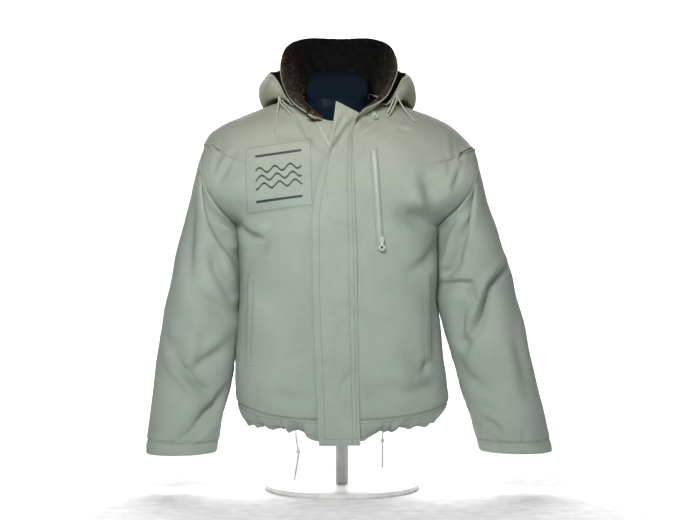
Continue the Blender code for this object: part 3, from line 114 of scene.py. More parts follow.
ARMPIT_BIAS = 1.2             # turns the armpit's outer face down, between body and sleeve
ARMHOLE_TURN = math.radians(46.0)
SHOULDER_FILL = 0.016         # how far the rounding below the shoulder point stands out
FILL_LEVEL = 1.97             # its step up the sections, and its spread below and above
FILL_BELOW = 0.22
FILL_ABOVE = 0.09
FILL_START = 0.48             # where it starts to grow from the centre to the edge
FILL_GROWTH = 0.36            # over this share of the section
FILL_END = 0.90               # where it starts to run out before the armhole
FILL_LOSS = 0.10
FILL_OUTWARD = 0.75           # how much of it goes out of the cloth, and up
FILL_UPWARD = 0.66
RISE_POWER = 2.5              # how late a section climbs from the centre line to the side

CENTRE_DROOP = 0.021          # the hem hangs lower between its two cord exits
DROOP_HALF_WIDTH = 0.062

SleeveRow = namedtuple("SleeveRow", "s outer_x outer_z inner_x inner_z y half_depth bow")
RIGHT_SLEEVE = (
    SleeveRow(0.000, 0.2680, 0.6600, 0.2013, 0.5086, 0.000, 0.0850, 0.024),
    SleeveRow(0.050, 0.2745, 0.6400, 0.2075, 0.4970, -0.001, 0.0870, 0.020),
    SleeveRow(0.120, 0.2855, 0.6000, 0.2070, 0.4780, -0.003, 0.0870, 0.012),
    SleeveRow(0.220, 0.3000, 0.5450, 0.2055, 0.4460, -0.005, 0.0850, 0.004),
    SleeveRow(0.380, 0.3260, 0.4390, 0.2050, 0.3900, -0.008, 0.0810, 0.000),
    SleeveRow(0.500, 0.3410, 0.3620, 0.2070, 0.3480, -0.011, 0.0780, 0.000),
    SleeveRow(0.620, 0.3540, 0.2900, 0.2137, 0.2870, -0.013, 0.0750, 0.000),
    SleeveRow(0.750, 0.3625, 0.2220, 0.2209, 0.2200, -0.015, 0.0720, 0.000),
    SleeveRow(0.880, 0.3715, 0.1500, 0.2320, 0.1480, -0.017, 0.0685, 0.000),
    SleeveRow(0.965, 0.3765, 0.0980, 0.2400, 0.0960, -0.018, 0.0665, 0.000),
    SleeveRow(1.000, 0.3785, 0.0720, 0.2445, 0.0740, -0.018, 0.0650, 0.000),
)
LEFT_SLEEVE = (
    SleeveRow(0.000, 0.2594, 0.6500, 0.1820, 0.5086, 0.000, 0.0850, 0.026),
    SleeveRow(0.050, 0.2635, 0.6320, 0.1885, 0.4970, -0.001, 0.0870, 0.021),
    SleeveRow(0.120, 0.2730, 0.5920, 0.1890, 0.4780, -0.003, 0.0875, 0.012),
    SleeveRow(0.220, 0.2890, 0.5400, 0.1875, 0.4460, -0.005, 0.0860, 0.004),
    SleeveRow(0.380, 0.3230, 0.4400, 0.1865, 0.3940, -0.008, 0.0830, 0.000),
    SleeveRow(0.500, 0.3410, 0.3680, 0.1930, 0.3520, -0.011, 0.0800, 0.000),
    SleeveRow(0.620, 0.3570, 0.3000, 0.2060, 0.2970, -0.013, 0.0770, 0.000),
    SleeveRow(0.750, 0.3755, 0.2200, 0.2290, 0.2190, -0.015, 0.0735, 0.000),
    SleeveRow(0.880, 0.3920, 0.1480, 0.2480, 0.1480, -0.017, 0.0700, 0.000),
    SleeveRow(0.965, 0.4020, 0.0980, 0.2615, 0.0990, -0.018, 0.0680, 0.000),
    SleeveRow(1.000, 0.4065, 0.0760, 0.2680, 0.0770, -0.018, 0.0660, 0.000),
)
CUFF_SEAM = 0.965

# Largest folds, as seen from the front or the back: a soft ridge or trough from one end to the
# other. A negative depth is a trough.
Fold = namedtuple("Fold", "face x0 z0 x1 z1 half_width depth")
TORSO_FOLDS = (
    Fold(FRONT, -0.205, 0.512, -0.150, 0.468, 0.016, -0.0060),
    Fold(FRONT, -0.190, 0.524, -0.135, 0.486, 0.017, 0.0045),
    Fold(FRONT, 0.190, 0.540, 0.150, 0.590, 0.018, -0.0065),
    Fold(FRONT, 0.205, 0.520, 0.120, 0.520, 0.022, -0.0035),
    Fold(FRONT, 0.175, 0.470, 0.145, 0.300, 0.020, 0.0040),
    Fold(FRONT, -0.185, 0.460, -0.165, 0.300, 0.018, 0.0035),
    Fold(FRONT, 0.175, 0.300, 0.165, 0.190, 0.016, -0.0050),
    Fold(FRONT, -0.120, 0.700, -0.060, 0.640, 0.016, -0.0040),
    Fold(FRONT, 0.070, 0.690, 0.040, 0.630, 0.014, -0.0045),
    Fold(FRONT, 0.100, 0.300, 0.130, 0.170, 0.024, 0.0030),
    Fold(FRONT, -0.110, 0.330, -0.140, 0.180, 0.024, 0.0030),
    Fold(BACK, -0.205, 0.530, -0.110, 0.470, 0.018, -0.0060),
    Fold(BACK, 0.190, 0.530, 0.100, 0.480, 0.018, -0.0055),
    Fold(BACK, -0.120, 0.420, -0.060, 0.200, 0.026, 0.0045),
    Fold(BACK, 0.080, 0.430, 0.110, 0.210, 0.026, 0.0040),
    Fold(BACK, 0.000, 0.330, 0.020, 0.180, 0.022, -0.0040),
    Fold(BACK, -0.150, 0.600, -0.100, 0.500, 0.020, 0.0035),
    Fold(BACK, 0.140, 0.600, 0.090, 0.510, 0.020, 0.0035),
)
SLEEVE_FOLDS = (
    Fold(FRONT, -0.262, 0.610, -0.228, 0.480, 0.014, -0.0100),
    Fold(FRONT, -0.300, 0.560, -0.285, 0.370, 0.018, -0.0040),
    Fold(FRONT, -0.322, 0.285, -0.262, 0.205, 0.015, -0.0075),
    Fold(FRONT, -0.272, 0.245, -0.222, 0.290, 0.014, -0.0070),
    Fold(FRONT, -0.300, 0.115, -0.232, 0.180, 0.014, -0.0080),
    Fold(FRONT, -0.345, 0.220, -0.290, 0.260, 0.020, 0.0045),
    Fold(FRONT, 0.252, 0.640, 0.205, 0.450, 0.015, -0.0105),
    Fold(FRONT, 0.215, 0.440, 0.190, 0.390, 0.014, -0.0060),
    Fold(FRONT, 0.315, 0.430, 0.235, 0.290, 0.016, -0.0075),
    Fold(FRONT, 0.245, 0.400, 0.232, 0.290, 0.014, -0.0060),
    Fold(FRONT, 0.262, 0.150, 0.300, 0.125, 0.012, -0.0050),
    Fold(FRONT, 0.300, 0.330, 0.340, 0.180, 0.022, 0.0035),
    Fold(BACK, -0.300, 0.330, -0.235, 0.270, 0.016, -0.0070),
    Fold(BACK, -0.340, 0.250, -0.250, 0.200, 0.016, -0.0065),
    Fold(BACK, -0.250, 0.600, -0.230, 0.470, 0.016, -0.0080),
    Fold(BACK, -0.320, 0.150, -0.250, 0.180, 0.014, -0.0050),
    Fold(BACK, 0.320, 0.330, 0.230, 0.280, 0.016, -0.0070),
    Fold(BACK, 0.360, 0.240, 0.260, 0.200, 0.016, -0.0065),
    Fold(BACK, 0.240, 0.600, 0.215, 0.460, 0.016, -0.0080),
    Fold(BACK, 0.280, 0.140, 0.350, 0.170, 0.014, -0.0050),
)

# Gathers of the hem casing, drawn up on its cord: place along each quarter and height.
Gather = namedtuple("Gather", "c width height")
HEM_GATHERS = (
    Gather(0.13, 0.030, 0.0030),
    Gather(0.22, 0.026, -0.0035),
    Gather(0.30, 0.026, 0.0040),
    Gather(0.38, 0.028, -0.0040),
    Gather(0.47, 0.030, 0.0030),
    Gather(0.56, 0.030, -0.0030),
    Gather(0.66, 0.032, 0.0035),
    Gather(0.76, 0.030, -0.0030),
    Gather(0.87, 0.032, 0.0025),
)

CollarRow = namedtuple("CollarRow", "turn x y z bulge lip")
COLLAR_TOP = (
    CollarRow(20.0, -0.0540, -0.1220, 0.7130, 0.000, 0.000),
    CollarRow(36.0, -0.0850, -0.1000, 0.7350, 0.001, 0.000),
    CollarRow(58.0, -0.1060, -0.0560, 0.7640, 0.003, 0.000),
    CollarRow(90.0, -0.1215, 0.0050, 0.8180, 0.006, 0.003),
    CollarRow(122.0, -0.1120, 0.0620, 0.8600, 0.008, 0.006),
    CollarRow(152.0, -0.0700, 0.0960, 0.8790, 0.008, 0.008),
    CollarRow(180.0, -0.0050, 0.1080, 0.8800, 0.008, 0.008),
    CollarRow(208.0, 0.0560, 0.0960, 0.8790, 0.008, 0.008),
    CollarRow(238.0, 0.0980, 0.0620, 0.8620, 0.008, 0.006),
    CollarRow(270.0, 0.1090, 0.0050, 0.8290, 0.006, 0.003),
    CollarRow(302.0, 0.1010, -0.0500, 0.7870, 0.003, 0.000),
    CollarRow(324.0, 0.0790, -0.0930, 0.7480, 0.001, 0.000),
    CollarRow(340.0, 0.0440, -0.1210, 0.7270, 0.000, 0.000),
)

# The hood hangs behind the collar as a gutter. Each row is one upright cut through it, as
# distances out from the neckline (out) and heights above it (up), from its seam to its rim.
HoodRow = namedtuple("HoodRow", "turn out up")
HOOD_CUTS = (
    HoodRow(56.0, (0.014, 0.019, 0.024, 0.028, 0.031, 0.033, 0.034),
            (-0.002, -0.004, -0.004, -0.003, 0.000, 0.003, 0.006)),
    HoodRow(70.0, (0.011, 0.022, 0.034, 0.044, 0.050, 0.051, 0.045),
            (0.000, -0.001, -0.003, 0.000, 0.012, 0.023, 0.033)),
    HoodRow(90.0, (0.008, 0.027, 0.048, 0.063, 0.071, 0.069, 0.054),
            (0.002, 0.001, -0.008, -0.012, 0.004, 0.026, 0.044)),
    HoodRow(120.0, (0.007, 0.032, 0.054, 0.072, 0.090, 0.092, 0.068),
            (0.001, -0.008, -0.028, -0.040, -0.018, 0.018, 0.051)),
    HoodRow(150.0, (0.006, 0.034, 0.048, 0.068, 0.096, 0.100, 0.072),
            (0.000, -0.030, -0.082, -0.106, -0.068, -0.008, 0.049)),
    HoodRow(180.0, (0.005, 0.032, 0.042, 0.066, 0.100, 0.104, 0.074),
            (0.000, -0.044, -0.112, -0.142, -0.094, -0.018, 0.045)),
)
HOOD_SEAM_CLEAR = 1.0 * MM
HOOD_CLEAR = 7.5 * MM
HOOD_LEFT_REACH = 0.80        # the hood sits closer in on the wearer's left

FlapRow = namedtuple("FlapRow", "z free_x seam_x lift")
STORM_FLAP = (
    FlapRow(0.0990, -0.0409, 0.0354, 0.0040),
    FlapRow(0.1460, -0.0432, 0.0335, 0.0045),
    FlapRow(0.1840, -0.0441, 0.0326, 0.0050),
    FlapRow(0.2770, -0.0480, 0.0305, 0.0050),
    FlapRow(0.3700, -0.0520, 0.0294, 0.0050),
    FlapRow(0.4540, -0.0527, 0.0281, 0.0052),
    FlapRow(0.5480, -0.0495, 0.0247, 0.0060),
    FlapRow(0.5810, -0.0432, 0.0236, 0.0068),
    FlapRow(0.6130, -0.0355, 0.0225, 0.0082),
    FlapRow(0.6500, -0.0249, 0.0205, 0.0104),
    FlapRow(0.6800, -0.0165, 0.0208, 0.0132),
    FlapRow(0.7000, -0.0129, 0.0246, 0.0154),
    FlapRow(0.7200, -0.0094, 0.0330, 0.0170),
)
FLAP_TIP_RISE = 0.020         # the free top corner stands above the sewn one

Quad = namedtuple("Quad", "x0 z0 x1 z1 x2 z2 x3 z3")
CHEST_PATCH = Quad(-0.1789, 0.531, -0.0517, 0.546, -0.0555, 0.673, -0.1826, 0.656)
CHEST_WELT = Quad(0.0640, 0.463, 0.0800, 0.463, 0.0670, 0.657, 0.0510, 0.657)
CHEST_TAPE = Quad(0.0697, 0.470, 0.0757, 0.470, 0.0632, 0.650, 0.0572, 0.650)
RIGHT_POCKET = Quad(-0.1830, 0.246, -0.1710, 0.246, -0.1655, 0.420, -0.1775, 0.420)
LEFT_POCKET = Quad(0.1590, 0.252, 0.1710, 0.252, 0.1675, 0.422, 0.1555, 0.422)
UNDER_FLAP = Quad(-0.0300, 0.640, -0.0190, 0.640, -0.0180, 0.7030, -0.0500, 0.7030)
ZIP_TOP = Quad(-0.0250, 0.658, -0.0205, 0.658, -0.0430, 0.7010, -0.0475, 0.7010)

CORD_DIAMETER = 3.0 * MM
KNOT_DIAMETER = 7.0 * MM
# The cords' routes. Each hood cord is knotted in front of its eyelet, with one hanging end and a
# bow; each hem cord runs down from the casing, through its stop, to a free end.
HOOD_KNOTS = {
    "right": Vector((-0.1193, -0.0594, 0.7509)),
    "left": Vector((0.1060, -0.0640, 0.7573)),
}
CORD_ROUTES = {
    "hood_cord_right": (
        (-0.1210, -0.0597, 0.7474), (-0.1213, -0.0606, 0.7430), (-0.1217, -0.0618, 0.7380),
        (-0.1222, -0.0640, 0.7325), (-0.1229, -0.0682, 0.7262), (-0.1239, -0.0748, 0.7188),
        (-0.1249, -0.0824, 0.7112), (-0.1257, -0.0898, 0.7040), (-0.1264, -0.0976, 0.6963),
        (-0.1268, -0.1040, 0.6892),
    ),
    "hood_bow_right": (
        (-0.1146, -0.0598, 0.7511), (-0.1114, -0.0606, 0.7468), (-0.1060, -0.0648, 0.7398),
        (-0.0975, -0.0725, 0.7322), (-0.0910, -0.0818, 0.7248), (-0.0890, -0.0870, 0.7198),
        (-0.0915, -0.0881, 0.7164), (-0.0970, -0.0826, 0.7218), (-0.1040, -0.0740, 0.7300),
        (-0.1110, -0.0672, 0.7382), (-0.1162, -0.0644, 0.7440), (-0.1184, -0.0634, 0.7482),
    ),
    "hood_cord_left": (
        (0.1081, -0.0643, 0.7540), (0.1098, -0.0640, 0.7498), (0.1124, -0.0634, 0.7445),
        (0.1158, -0.0630, 0.7388), (0.1200, -0.0636, 0.7325), (0.1250, -0.0655, 0.7262),
        (0.1302, -0.0684, 0.7198), (0.1352, -0.0718, 0.7138), (0.1400, -0.0752, 0.7082),
    ),
    "hood_bow_left": (
        (0.1018, -0.0654, 0.7570), (0.0990, -0.0703, 0.7516), (0.0958, -0.0724, 0.7438),
        (0.0915, -0.0745, 0.7350), (0.0876, -0.0782, 0.7268), (0.0854, -0.0824, 0.7210),
        (0.0878, -0.0834, 0.7180), (0.0926, -0.0788, 0.7246), (0.0974, -0.0736, 0.7340),
        (0.1014, -0.0702, 0.7432), (0.1044, -0.0692, 0.7500), (0.1055, -0.0679, 0.7547),
    ),
    "hem_cord_right_upper": (
        (-0.0862, -0.1022, 0.1227), (-0.0862, -0.1032, 0.1170), (-0.0858, -0.1050, 0.1110),
        (-0.0848, -0.1070, 0.1050), (-0.0835, -0.1086, 0.0985), (-0.0822, -0.1096, 0.0900),
    ),
    "hem_cord_right_lower": (
        (-0.0816, -0.1102, 0.0800), (-0.0822, -0.1105, 0.0720), (-0.0836, -0.1108, 0.0630),
        (-0.0853, -0.1111, 0.0530), (-0.0870, -0.1114, 0.0420), (-0.0886, -0.1116, 0.0308),
    ),
    "hem_cord_left_upper": (
        (0.0778, -0.1022, 0.1237), (0.0776, -0.1032, 0.1205), (0.0773, -0.1050, 0.1170),
        (0.0770, -0.1068, 0.1138), (0.0767, -0.1079, 0.1106),
    ),
    "hem_cord_left_lower": (
        (0.0766, -0.1088, 0.1006), (0.0767, -0.1092, 0.0930), (0.0768, -0.1097, 0.0840),
        (0.0768, -0.1100, 0.0750), (0.0767, -0.1102, 0.0650), (0.0766, -0.1103, 0.0552),
    ),
}
FormRow = namedtuple("FormRow",
                     "front_y front_z back_y back_z right_x right_z left_x left_z side_y power")
FORM_TRUNK = (
    FormRow(-0.082, 0.190, 0.080, 0.190, 0.143, 0.190, 0.141, 0.190, 0.000, 0.90),
    FormRow(-0.094, 0.235, 0.090, 0.235, 0.151, 0.235, 0.148, 0.235, 0.000, 0.90),
    FormRow(-0.090, 0.320, 0.085, 0.320, 0.139, 0.320, 0.137, 0.320, 0.000, 0.90),
    FormRow(-0.099, 0.420, 0.092, 0.420, 0.146, 0.420, 0.143, 0.420, 0.000, 0.90),
    FormRow(-0.109, 0.510, 0.098, 0.515, 0.160, 0.510, 0.156, 0.510, 0.000, 0.90),
    FormRow(-0.109, 0.575, 0.101, 0.590, 0.175, 0.600, 0.171, 0.600, 0.000, 0.90),
    FormRow(-0.102, 0.620, 0.099, 0.645, 0.184, 0.655, 0.179, 0.655, 0.000, 0.90),
    FormRow(-0.093, 0.655, 0.095, 0.685, 0.184, 0.695, 0.178, 0.692, 0.000, 0.90),
)
FormSeat = namedtuple("FormSeat", "v front_y front_z back_y back_z")
FORM_SEATS = (
    FormSeat(2.6, -0.082, 0.680, 0.090, 0.712),
    FormSeat(2.8, -0.072, 0.702, 0.082, 0.742),
)
FORM_NECK = (
    FormRow(-0.062, 0.718, 0.074, 0.764, 0.0725, 0.7615, 0.0545, 0.7590, 0.004, 0.80),
    FormRow(-0.056, 0.737, 0.066, 0.789, 0.0710, 0.7760, 0.0515, 0.7750, 0.004, 0.68),
    FormRow(-0.052, 0.7546, 0.062, 0.821, 0.0720, 0.7880, 0.0530, 0.7880, 0.004, 0.62),
)
FORM_CLEAR = 0.35 * MM


def smooth_column(rows, column, at):
    """Read a table's column between its rows, as a cubic whose slopes come from the neighbours."""
    knots = np.array([row[0] for row in rows])
    values = np.array([getattr(row, column) for row in rows])
    return smooth_values(knots, values, at)


def smooth_values(knots, values, at):
    slopes = np.gradient(values, knots)
    left = np.clip(np.searchsorted(knots, at, side="right") - 1, 0, len(knots) - 2)
    step = knots[left + 1] - knots[left]
    u = (at - knots[left]) / step
    start = (1 + 2 * u) * (1 - u) ** 2 * values[left] + u * (1 - u) ** 2 * step * slopes[left]
    end = u * u * (3 - 2 * u) * values[left + 1] + u * u * (u - 1) * step * slopes[left + 1]
    return start + end


def sleeve_table(side):
    return RIGHT_SLEEVE if side == RIGHT else LEFT_SLEEVE


def sleeve_ring(side, s, turn):
    """Point of the plain sleeve: s runs down from the armhole, turn from its top to the back."""
    rows = sleeve_table(side)
    outer_x = smooth_column(rows, "outer_x", s)
    outer_z = smooth_column(rows, "outer_z", s)
    inner_x = smooth_column(rows, "inner_x", s)
    inner_z = smooth_column(rows, "inner_z", s)
    depth = smooth_column(rows, "half_depth", s)
    bow = smooth_column(rows, "bow", s)
    across = np.cos(turn)
    x = (outer_x + inner_x) / 2 + across * (outer_x - inner_x) / 2 + bow * np.sin(turn) ** 2
    z = (outer_z + inner_z) / 2 + across * (outer_z - inner_z) / 2
    y = smooth_column(rows, "y", s) + depth * np.sin(turn)
    return np.stack(np.broadcast_arrays(side * x, y, z), axis=-1)


def torso_edge(side, face, v):
    """Where a section meets the side seam, the armhole or the shoulder seam."""
    x_name = "right_x" if side == RIGHT else "left_x"
    z_name = "right_z" if side == RIGHT else "left_z"
    low = np.minimum(v, ARMPIT)
    high = np.maximum(v, SHOULDER_POINT)
    below = [side * smooth_column(SIDE_SEAMS, x_name, low), smooth_column(SIDE_SEAMS, "y", low),
             smooth_column(SIDE_SEAMS, z_name, low)]
    above = [side * smooth_column(SHOULDER_SEAMS, x_name, high),
             smooth_column(SHOULDER_SEAMS, "y", high),
             smooth_column(SHOULDER_SEAMS, z_name, high)]
    climb = np.clip(v - ARMPIT, 0.0, 1.0)
    loop = sleeve_ring(side, np.zeros_like(v), face * math.pi * (1 - climb))
    loop[..., 1] += climb * SHOULDER_SEAMS[0].y
    edge = np.empty(np.shape(v) + (3,))
    for axis in range(3):
        edge[..., axis] = np.where(v < ARMPIT, below[axis],
                                   np.where(v > SHOULDER_POINT, above[axis], loop[..., axis]))
    return edge


def shoulder_fill(v, c):
    """Rounding of the shoulder between the armhole's top and the seam to the neck."""
    rise = np.clip((c - FILL_START) / FILL_GROWTH, 0.0, 1.0)
    fall = 1.0 - np.clip((c - FILL_END) / FILL_LOSS, 0.0, 1.0) ** 2
    spread = np.where(v < FILL_LEVEL, FILL_BELOW, FILL_ABOVE)
    return (SHOULDER_FILL * rise ** 2 * (3 - 2 * rise) * fall
            * np.exp(-((v - FILL_LEVEL) / spread) ** 2))


def torso_plain(side, face, v, c):
    """Point of the torso without folds: c runs from the centre line to the section's edge."""
    v, c = np.broadcast_arrays(np.asarray(v, float), np.asarray(c, float))
    name = "front" if face == FRONT else "back"
    centre_y = smooth_column(CENTRE_LINES, name + "_y", v)
    centre_z = smooth_column(CENTRE_LINES, name + "_z", v)
    centre_x = ZIP_X if face == FRONT else BACK_CENTRE_X
    power = smooth_column(CENTRE_LINES, "squareness", v)
    edge = torso_edge(side, face, v)
    open_part = np.clip(v - ARMPIT, 0.0, 1.0)
    last = math.pi / 2 - ARMHOLE_TURN * np.sin(math.pi * open_part)
    angle = c * last
    sine = np.sin(angle) ** power
    cosine = np.maximum(np.cos(angle), 0.0) ** power
    end_cosine = np.maximum(np.cos(last), 0.0) ** power
    last_cosine = np.where(open_part * (1 - open_part) > 0, end_cosine, 0.0)
    middle_y = (edge[..., 1] - centre_y * last_cosine) / (1 - last_cosine)
    x = centre_x + (edge[..., 0] - centre_x) * sine / np.sin(last) ** power
    y = middle_y - (middle_y - centre_y) * cosine
    z = centre_z + (edge[..., 2] - centre_z) * (np.sin(angle) / np.sin(last)) ** RISE_POWER
    fill = shoulder_fill(v, c)
    y = y + face * FILL_OUTWARD * fill
    z = z + FILL_UPWARD * fill
    if face == FRONT:
        low = np.clip(-v / -HEM, 0.0, 1.0)
        z = z - low * CENTRE_DROOP * np.exp(-((x - centre_x) / DROOP_HALF_WIDTH) ** 4)
        y = y - low * 0.5 * CENTRE_DROOP * np.exp(-((x - centre_x) / DROOP_HALF_WIDTH) ** 4)
    return np.stack((x, y, z), axis=-1)


def fold_height(points, faces, folds):
    """Sum of the ridges and troughs at some points; faces is -1 to 1 from front to back."""
    height = np.zeros(points.shape[:-1])
    for fold in folds:
        start = np.array((fold.x0, fold.z0))
        run = np.array((fold.x1, fold.z1)) - start
        length = np.linalg.norm(run)
        offset = points[..., (0, 2)] - start
        along = offset @ run / length ** 2
        beside = (offset[..., 0] * run[1] - offset[..., 1] * run[0]) / length
        past = np.maximum(np.maximum(-along, along - 1.0), 0.0) * length
        inside = np.clip(along, 0.0, 1.0)
        fade = 0.35 + 0.65 * np.sin(math.pi * (0.15 + 0.7 * inside))
        away = (beside ** 2 + past ** 2) / fold.half_width ** 2
        facing = np.clip(faces * fold.face * 2.0, 0.0, 1.0)
        height += fold.depth * fade * np.exp(-away) * facing
    return height


def normals_of(surface, u, w, step=1e-3):
    """Unit normals of a surface function of two grids of parameters."""
    u_low, u_high, w_low, w_high = surface.limits
    across = surface(np.minimum(u + step, u_high), w) - surface(np.maximum(u - step, u_low), w)
    up = surface(u, np.minimum(w + step, w_high)) - surface(u, np.maximum(w - step, w_low))
    normal = np.cross(across, up)
    size = np.linalg.norm(normal, axis=-1, keepdims=True)
    return normal / np.maximum(size, 1e-12)


# Settings of the finer grids, as steps between points.
BODY_STEPS = 84
ARMHOLE_STEPS = 40
SHOULDER_STEPS = 28
FRONT_STEPS = 60
BACK_STEPS = 58
HEM_STEPS = 150
HEM_BAND_STEPS = 14
SLEEVE_STEPS = 120
SLEEVE_AROUND = 2 * ARMHOLE_STEPS
CUFF_STEPS = 8
COLLAR_STEPS = 150
COLLAR_BAND_STEPS = 22
HOOD_STEPS = 150
HOOD_PROFILE_STEPS = 56
SEAM_SHOW = 0.35 * MM         # how far each cloth edge stays back from its seam

# Small creases, drawn as lines over the front or the back: half width, depth, the height of the
# ridge beside the crease as a share of its depth (its side is the sign), and the line's points.
Crease = namedtuple("Crease", "face width depth ridge route")
TORSO_CREASES = (
    Crease(FRONT, 0.006, 0.0016, 0.4, ((-0.234, 0.661), (-0.236, 0.631), (-0.240, 0.609))),
    Crease(FRONT, 0.006, 0.0024, 0.5, ((-0.207, 0.643), (-0.218, 0.617), (-0.232, 0.594))),
    Crease(FRONT, 0.006, 0.0014, 0.3, ((-0.228, 0.658), (-0.228, 0.636))),
    Crease(FRONT, 0.009, 0.0034, 0.7, ((-0.200, 0.513), (-0.176, 0.497), (-0.163, 0.489))),
    Crease(FRONT, 0.010, 0.0030, -0.9, ((-0.166, 0.489), (-0.143, 0.485), (-0.127, 0.505))),
    Crease(FRONT, 0.013, 0.0030, 0.3, ((-0.178, 0.452), (-0.158, 0.462), (-0.136, 0.474))),
    Crease(FRONT, 0.010, 0.0022, 0.4, ((-0.118, 0.684), (-0.090, 0.679), (-0.070, 0.673))),
    Crease(FRONT, 0.0055, 0.0034, 0.6, ((-0.080, 0.712), (-0.066, 0.684), (-0.048, 0.660),
                                       (-0.034, 0.648))),
    Crease(FRONT, 0.014, 0.0042, 0.3, ((0.160, 0.594), (0.176, 0.578), (0.192, 0.556))),
    Crease(FRONT, 0.012, 0.0034, 0.3, ((0.158, 0.594), (0.164, 0.566), (0.170, 0.540))),
    Crease(FRONT, 0.016, 0.0034, 0.3, ((0.118, 0.530), (0.142, 0.522), (0.164, 0.518))),
    Crease(FRONT, 0.012, 0.0036, 0.4, ((0.124, 0.424), (0.150, 0.442), (0.178, 0.480))),
    Crease(FRONT, 0.0055, 0.0022, 0.5, ((0.214, 0.676), (0.213, 0.650), (0.211, 0.626))),
    Crease(FRONT, 0.005, 0.0018, 0.5, ((0.226, 0.668), (0.226, 0.650), (0.225, 0.632))),
    Crease(FRONT, 0.005, 0.0015, 0.4, ((0.196, 0.640), (0.204, 0.618), (0.206, 0.606))),
    Crease(FRONT, 0.006, 0.0024, 0.5, ((0.223, 0.616), (0.219, 0.598), (0.212, 0.582))),
    Crease(FRONT, 0.0045, 0.0024, 0.7, ((0.062, 0.714), (0.044, 0.700), (0.030, 0.684))),
    Crease(FRONT, 0.0045, 0.0024, 0.7, ((0.080, 0.702), (0.056, 0.684), (0.034, 0.668))),
    Crease(FRONT, 0.0050, 0.0020, 0.6, ((0.094, 0.694), (0.074, 0.680), (0.048, 0.662))),
    Crease(FRONT, 0.0040, 0.0014, 0.4, ((0.128, 0.690), (0.108, 0.692))),
    Crease(FRONT, 0.010, 0.0014, 0.3, ((-0.098, 0.256), (-0.076, 0.268), (-0.052, 0.280))),
    Crease(FRONT, 0.010, 0.0024, 0.4, ((0.050, 0.212), (0.058, 0.192), (0.068, 0.176))),
    Crease(FRONT, 0.014, 0.0034, -0.6, ((0.086, 0.206), (0.122, 0.196), (0.166, 0.206))),
    Crease(FRONT, 0.006, 0.0026, 0.5, ((0.164, 0.252), (0.160, 0.240), (0.155, 0.230))),
    Crease(FRONT, 0.011, 0.0030, 0.4, ((0.134, 0.226), (0.150, 0.238), (0.160, 0.252))),
    Crease(FRONT, 0.012, 0.0024, 0.4, ((-0.130, 0.200), (-0.100, 0.186), (-0.060, 0.184))),
    Crease(BACK, 0.007, 0.0026, 0.5, ((-0.232, 0.650), (-0.226, 0.618), (-0.214, 0.596))),
    Crease(BACK, 0.011, 0.0036, 0.6, ((-0.200, 0.520), (-0.166, 0.500), (-0.120, 0.510))),
    Crease(BACK, 0.013, 0.0034, 0.5, ((-0.186, 0.466), (-0.140, 0.452), (-0.096, 0.466))),
    Crease(BACK, 0.007, 0.0024, 0.5, ((0.224, 0.650), (0.216, 0.616), (0.202, 0.594))),
    Crease(BACK, 0.011, 0.0038, 0.6, ((0.186, 0.522), (0.152, 0.504), (0.112, 0.512))),
    Crease(BACK, 0.013, 0.0032, 0.5, ((0.172, 0.462), (0.130, 0.448), (0.090, 0.458))),
    Crease(BACK, 0.010, 0.0026, 0.5, ((-0.060, 0.560), (0.000, 0.548), (0.064, 0.562))),
    Crease(BACK, 0.012, 0.0028, 0.5, ((-0.130, 0.240), (-0.070, 0.214), (-0.020, 0.222))),
    Crease(BACK, 0.012, 0.0028, 0.5, ((0.150, 0.250), (0.090, 0.218), (0.040, 0.226))),
    Crease(BACK, 0.010, 0.0022, 0.4, ((-0.020, 0.400), (0.030, 0.380), (0.070, 0.386))),
)
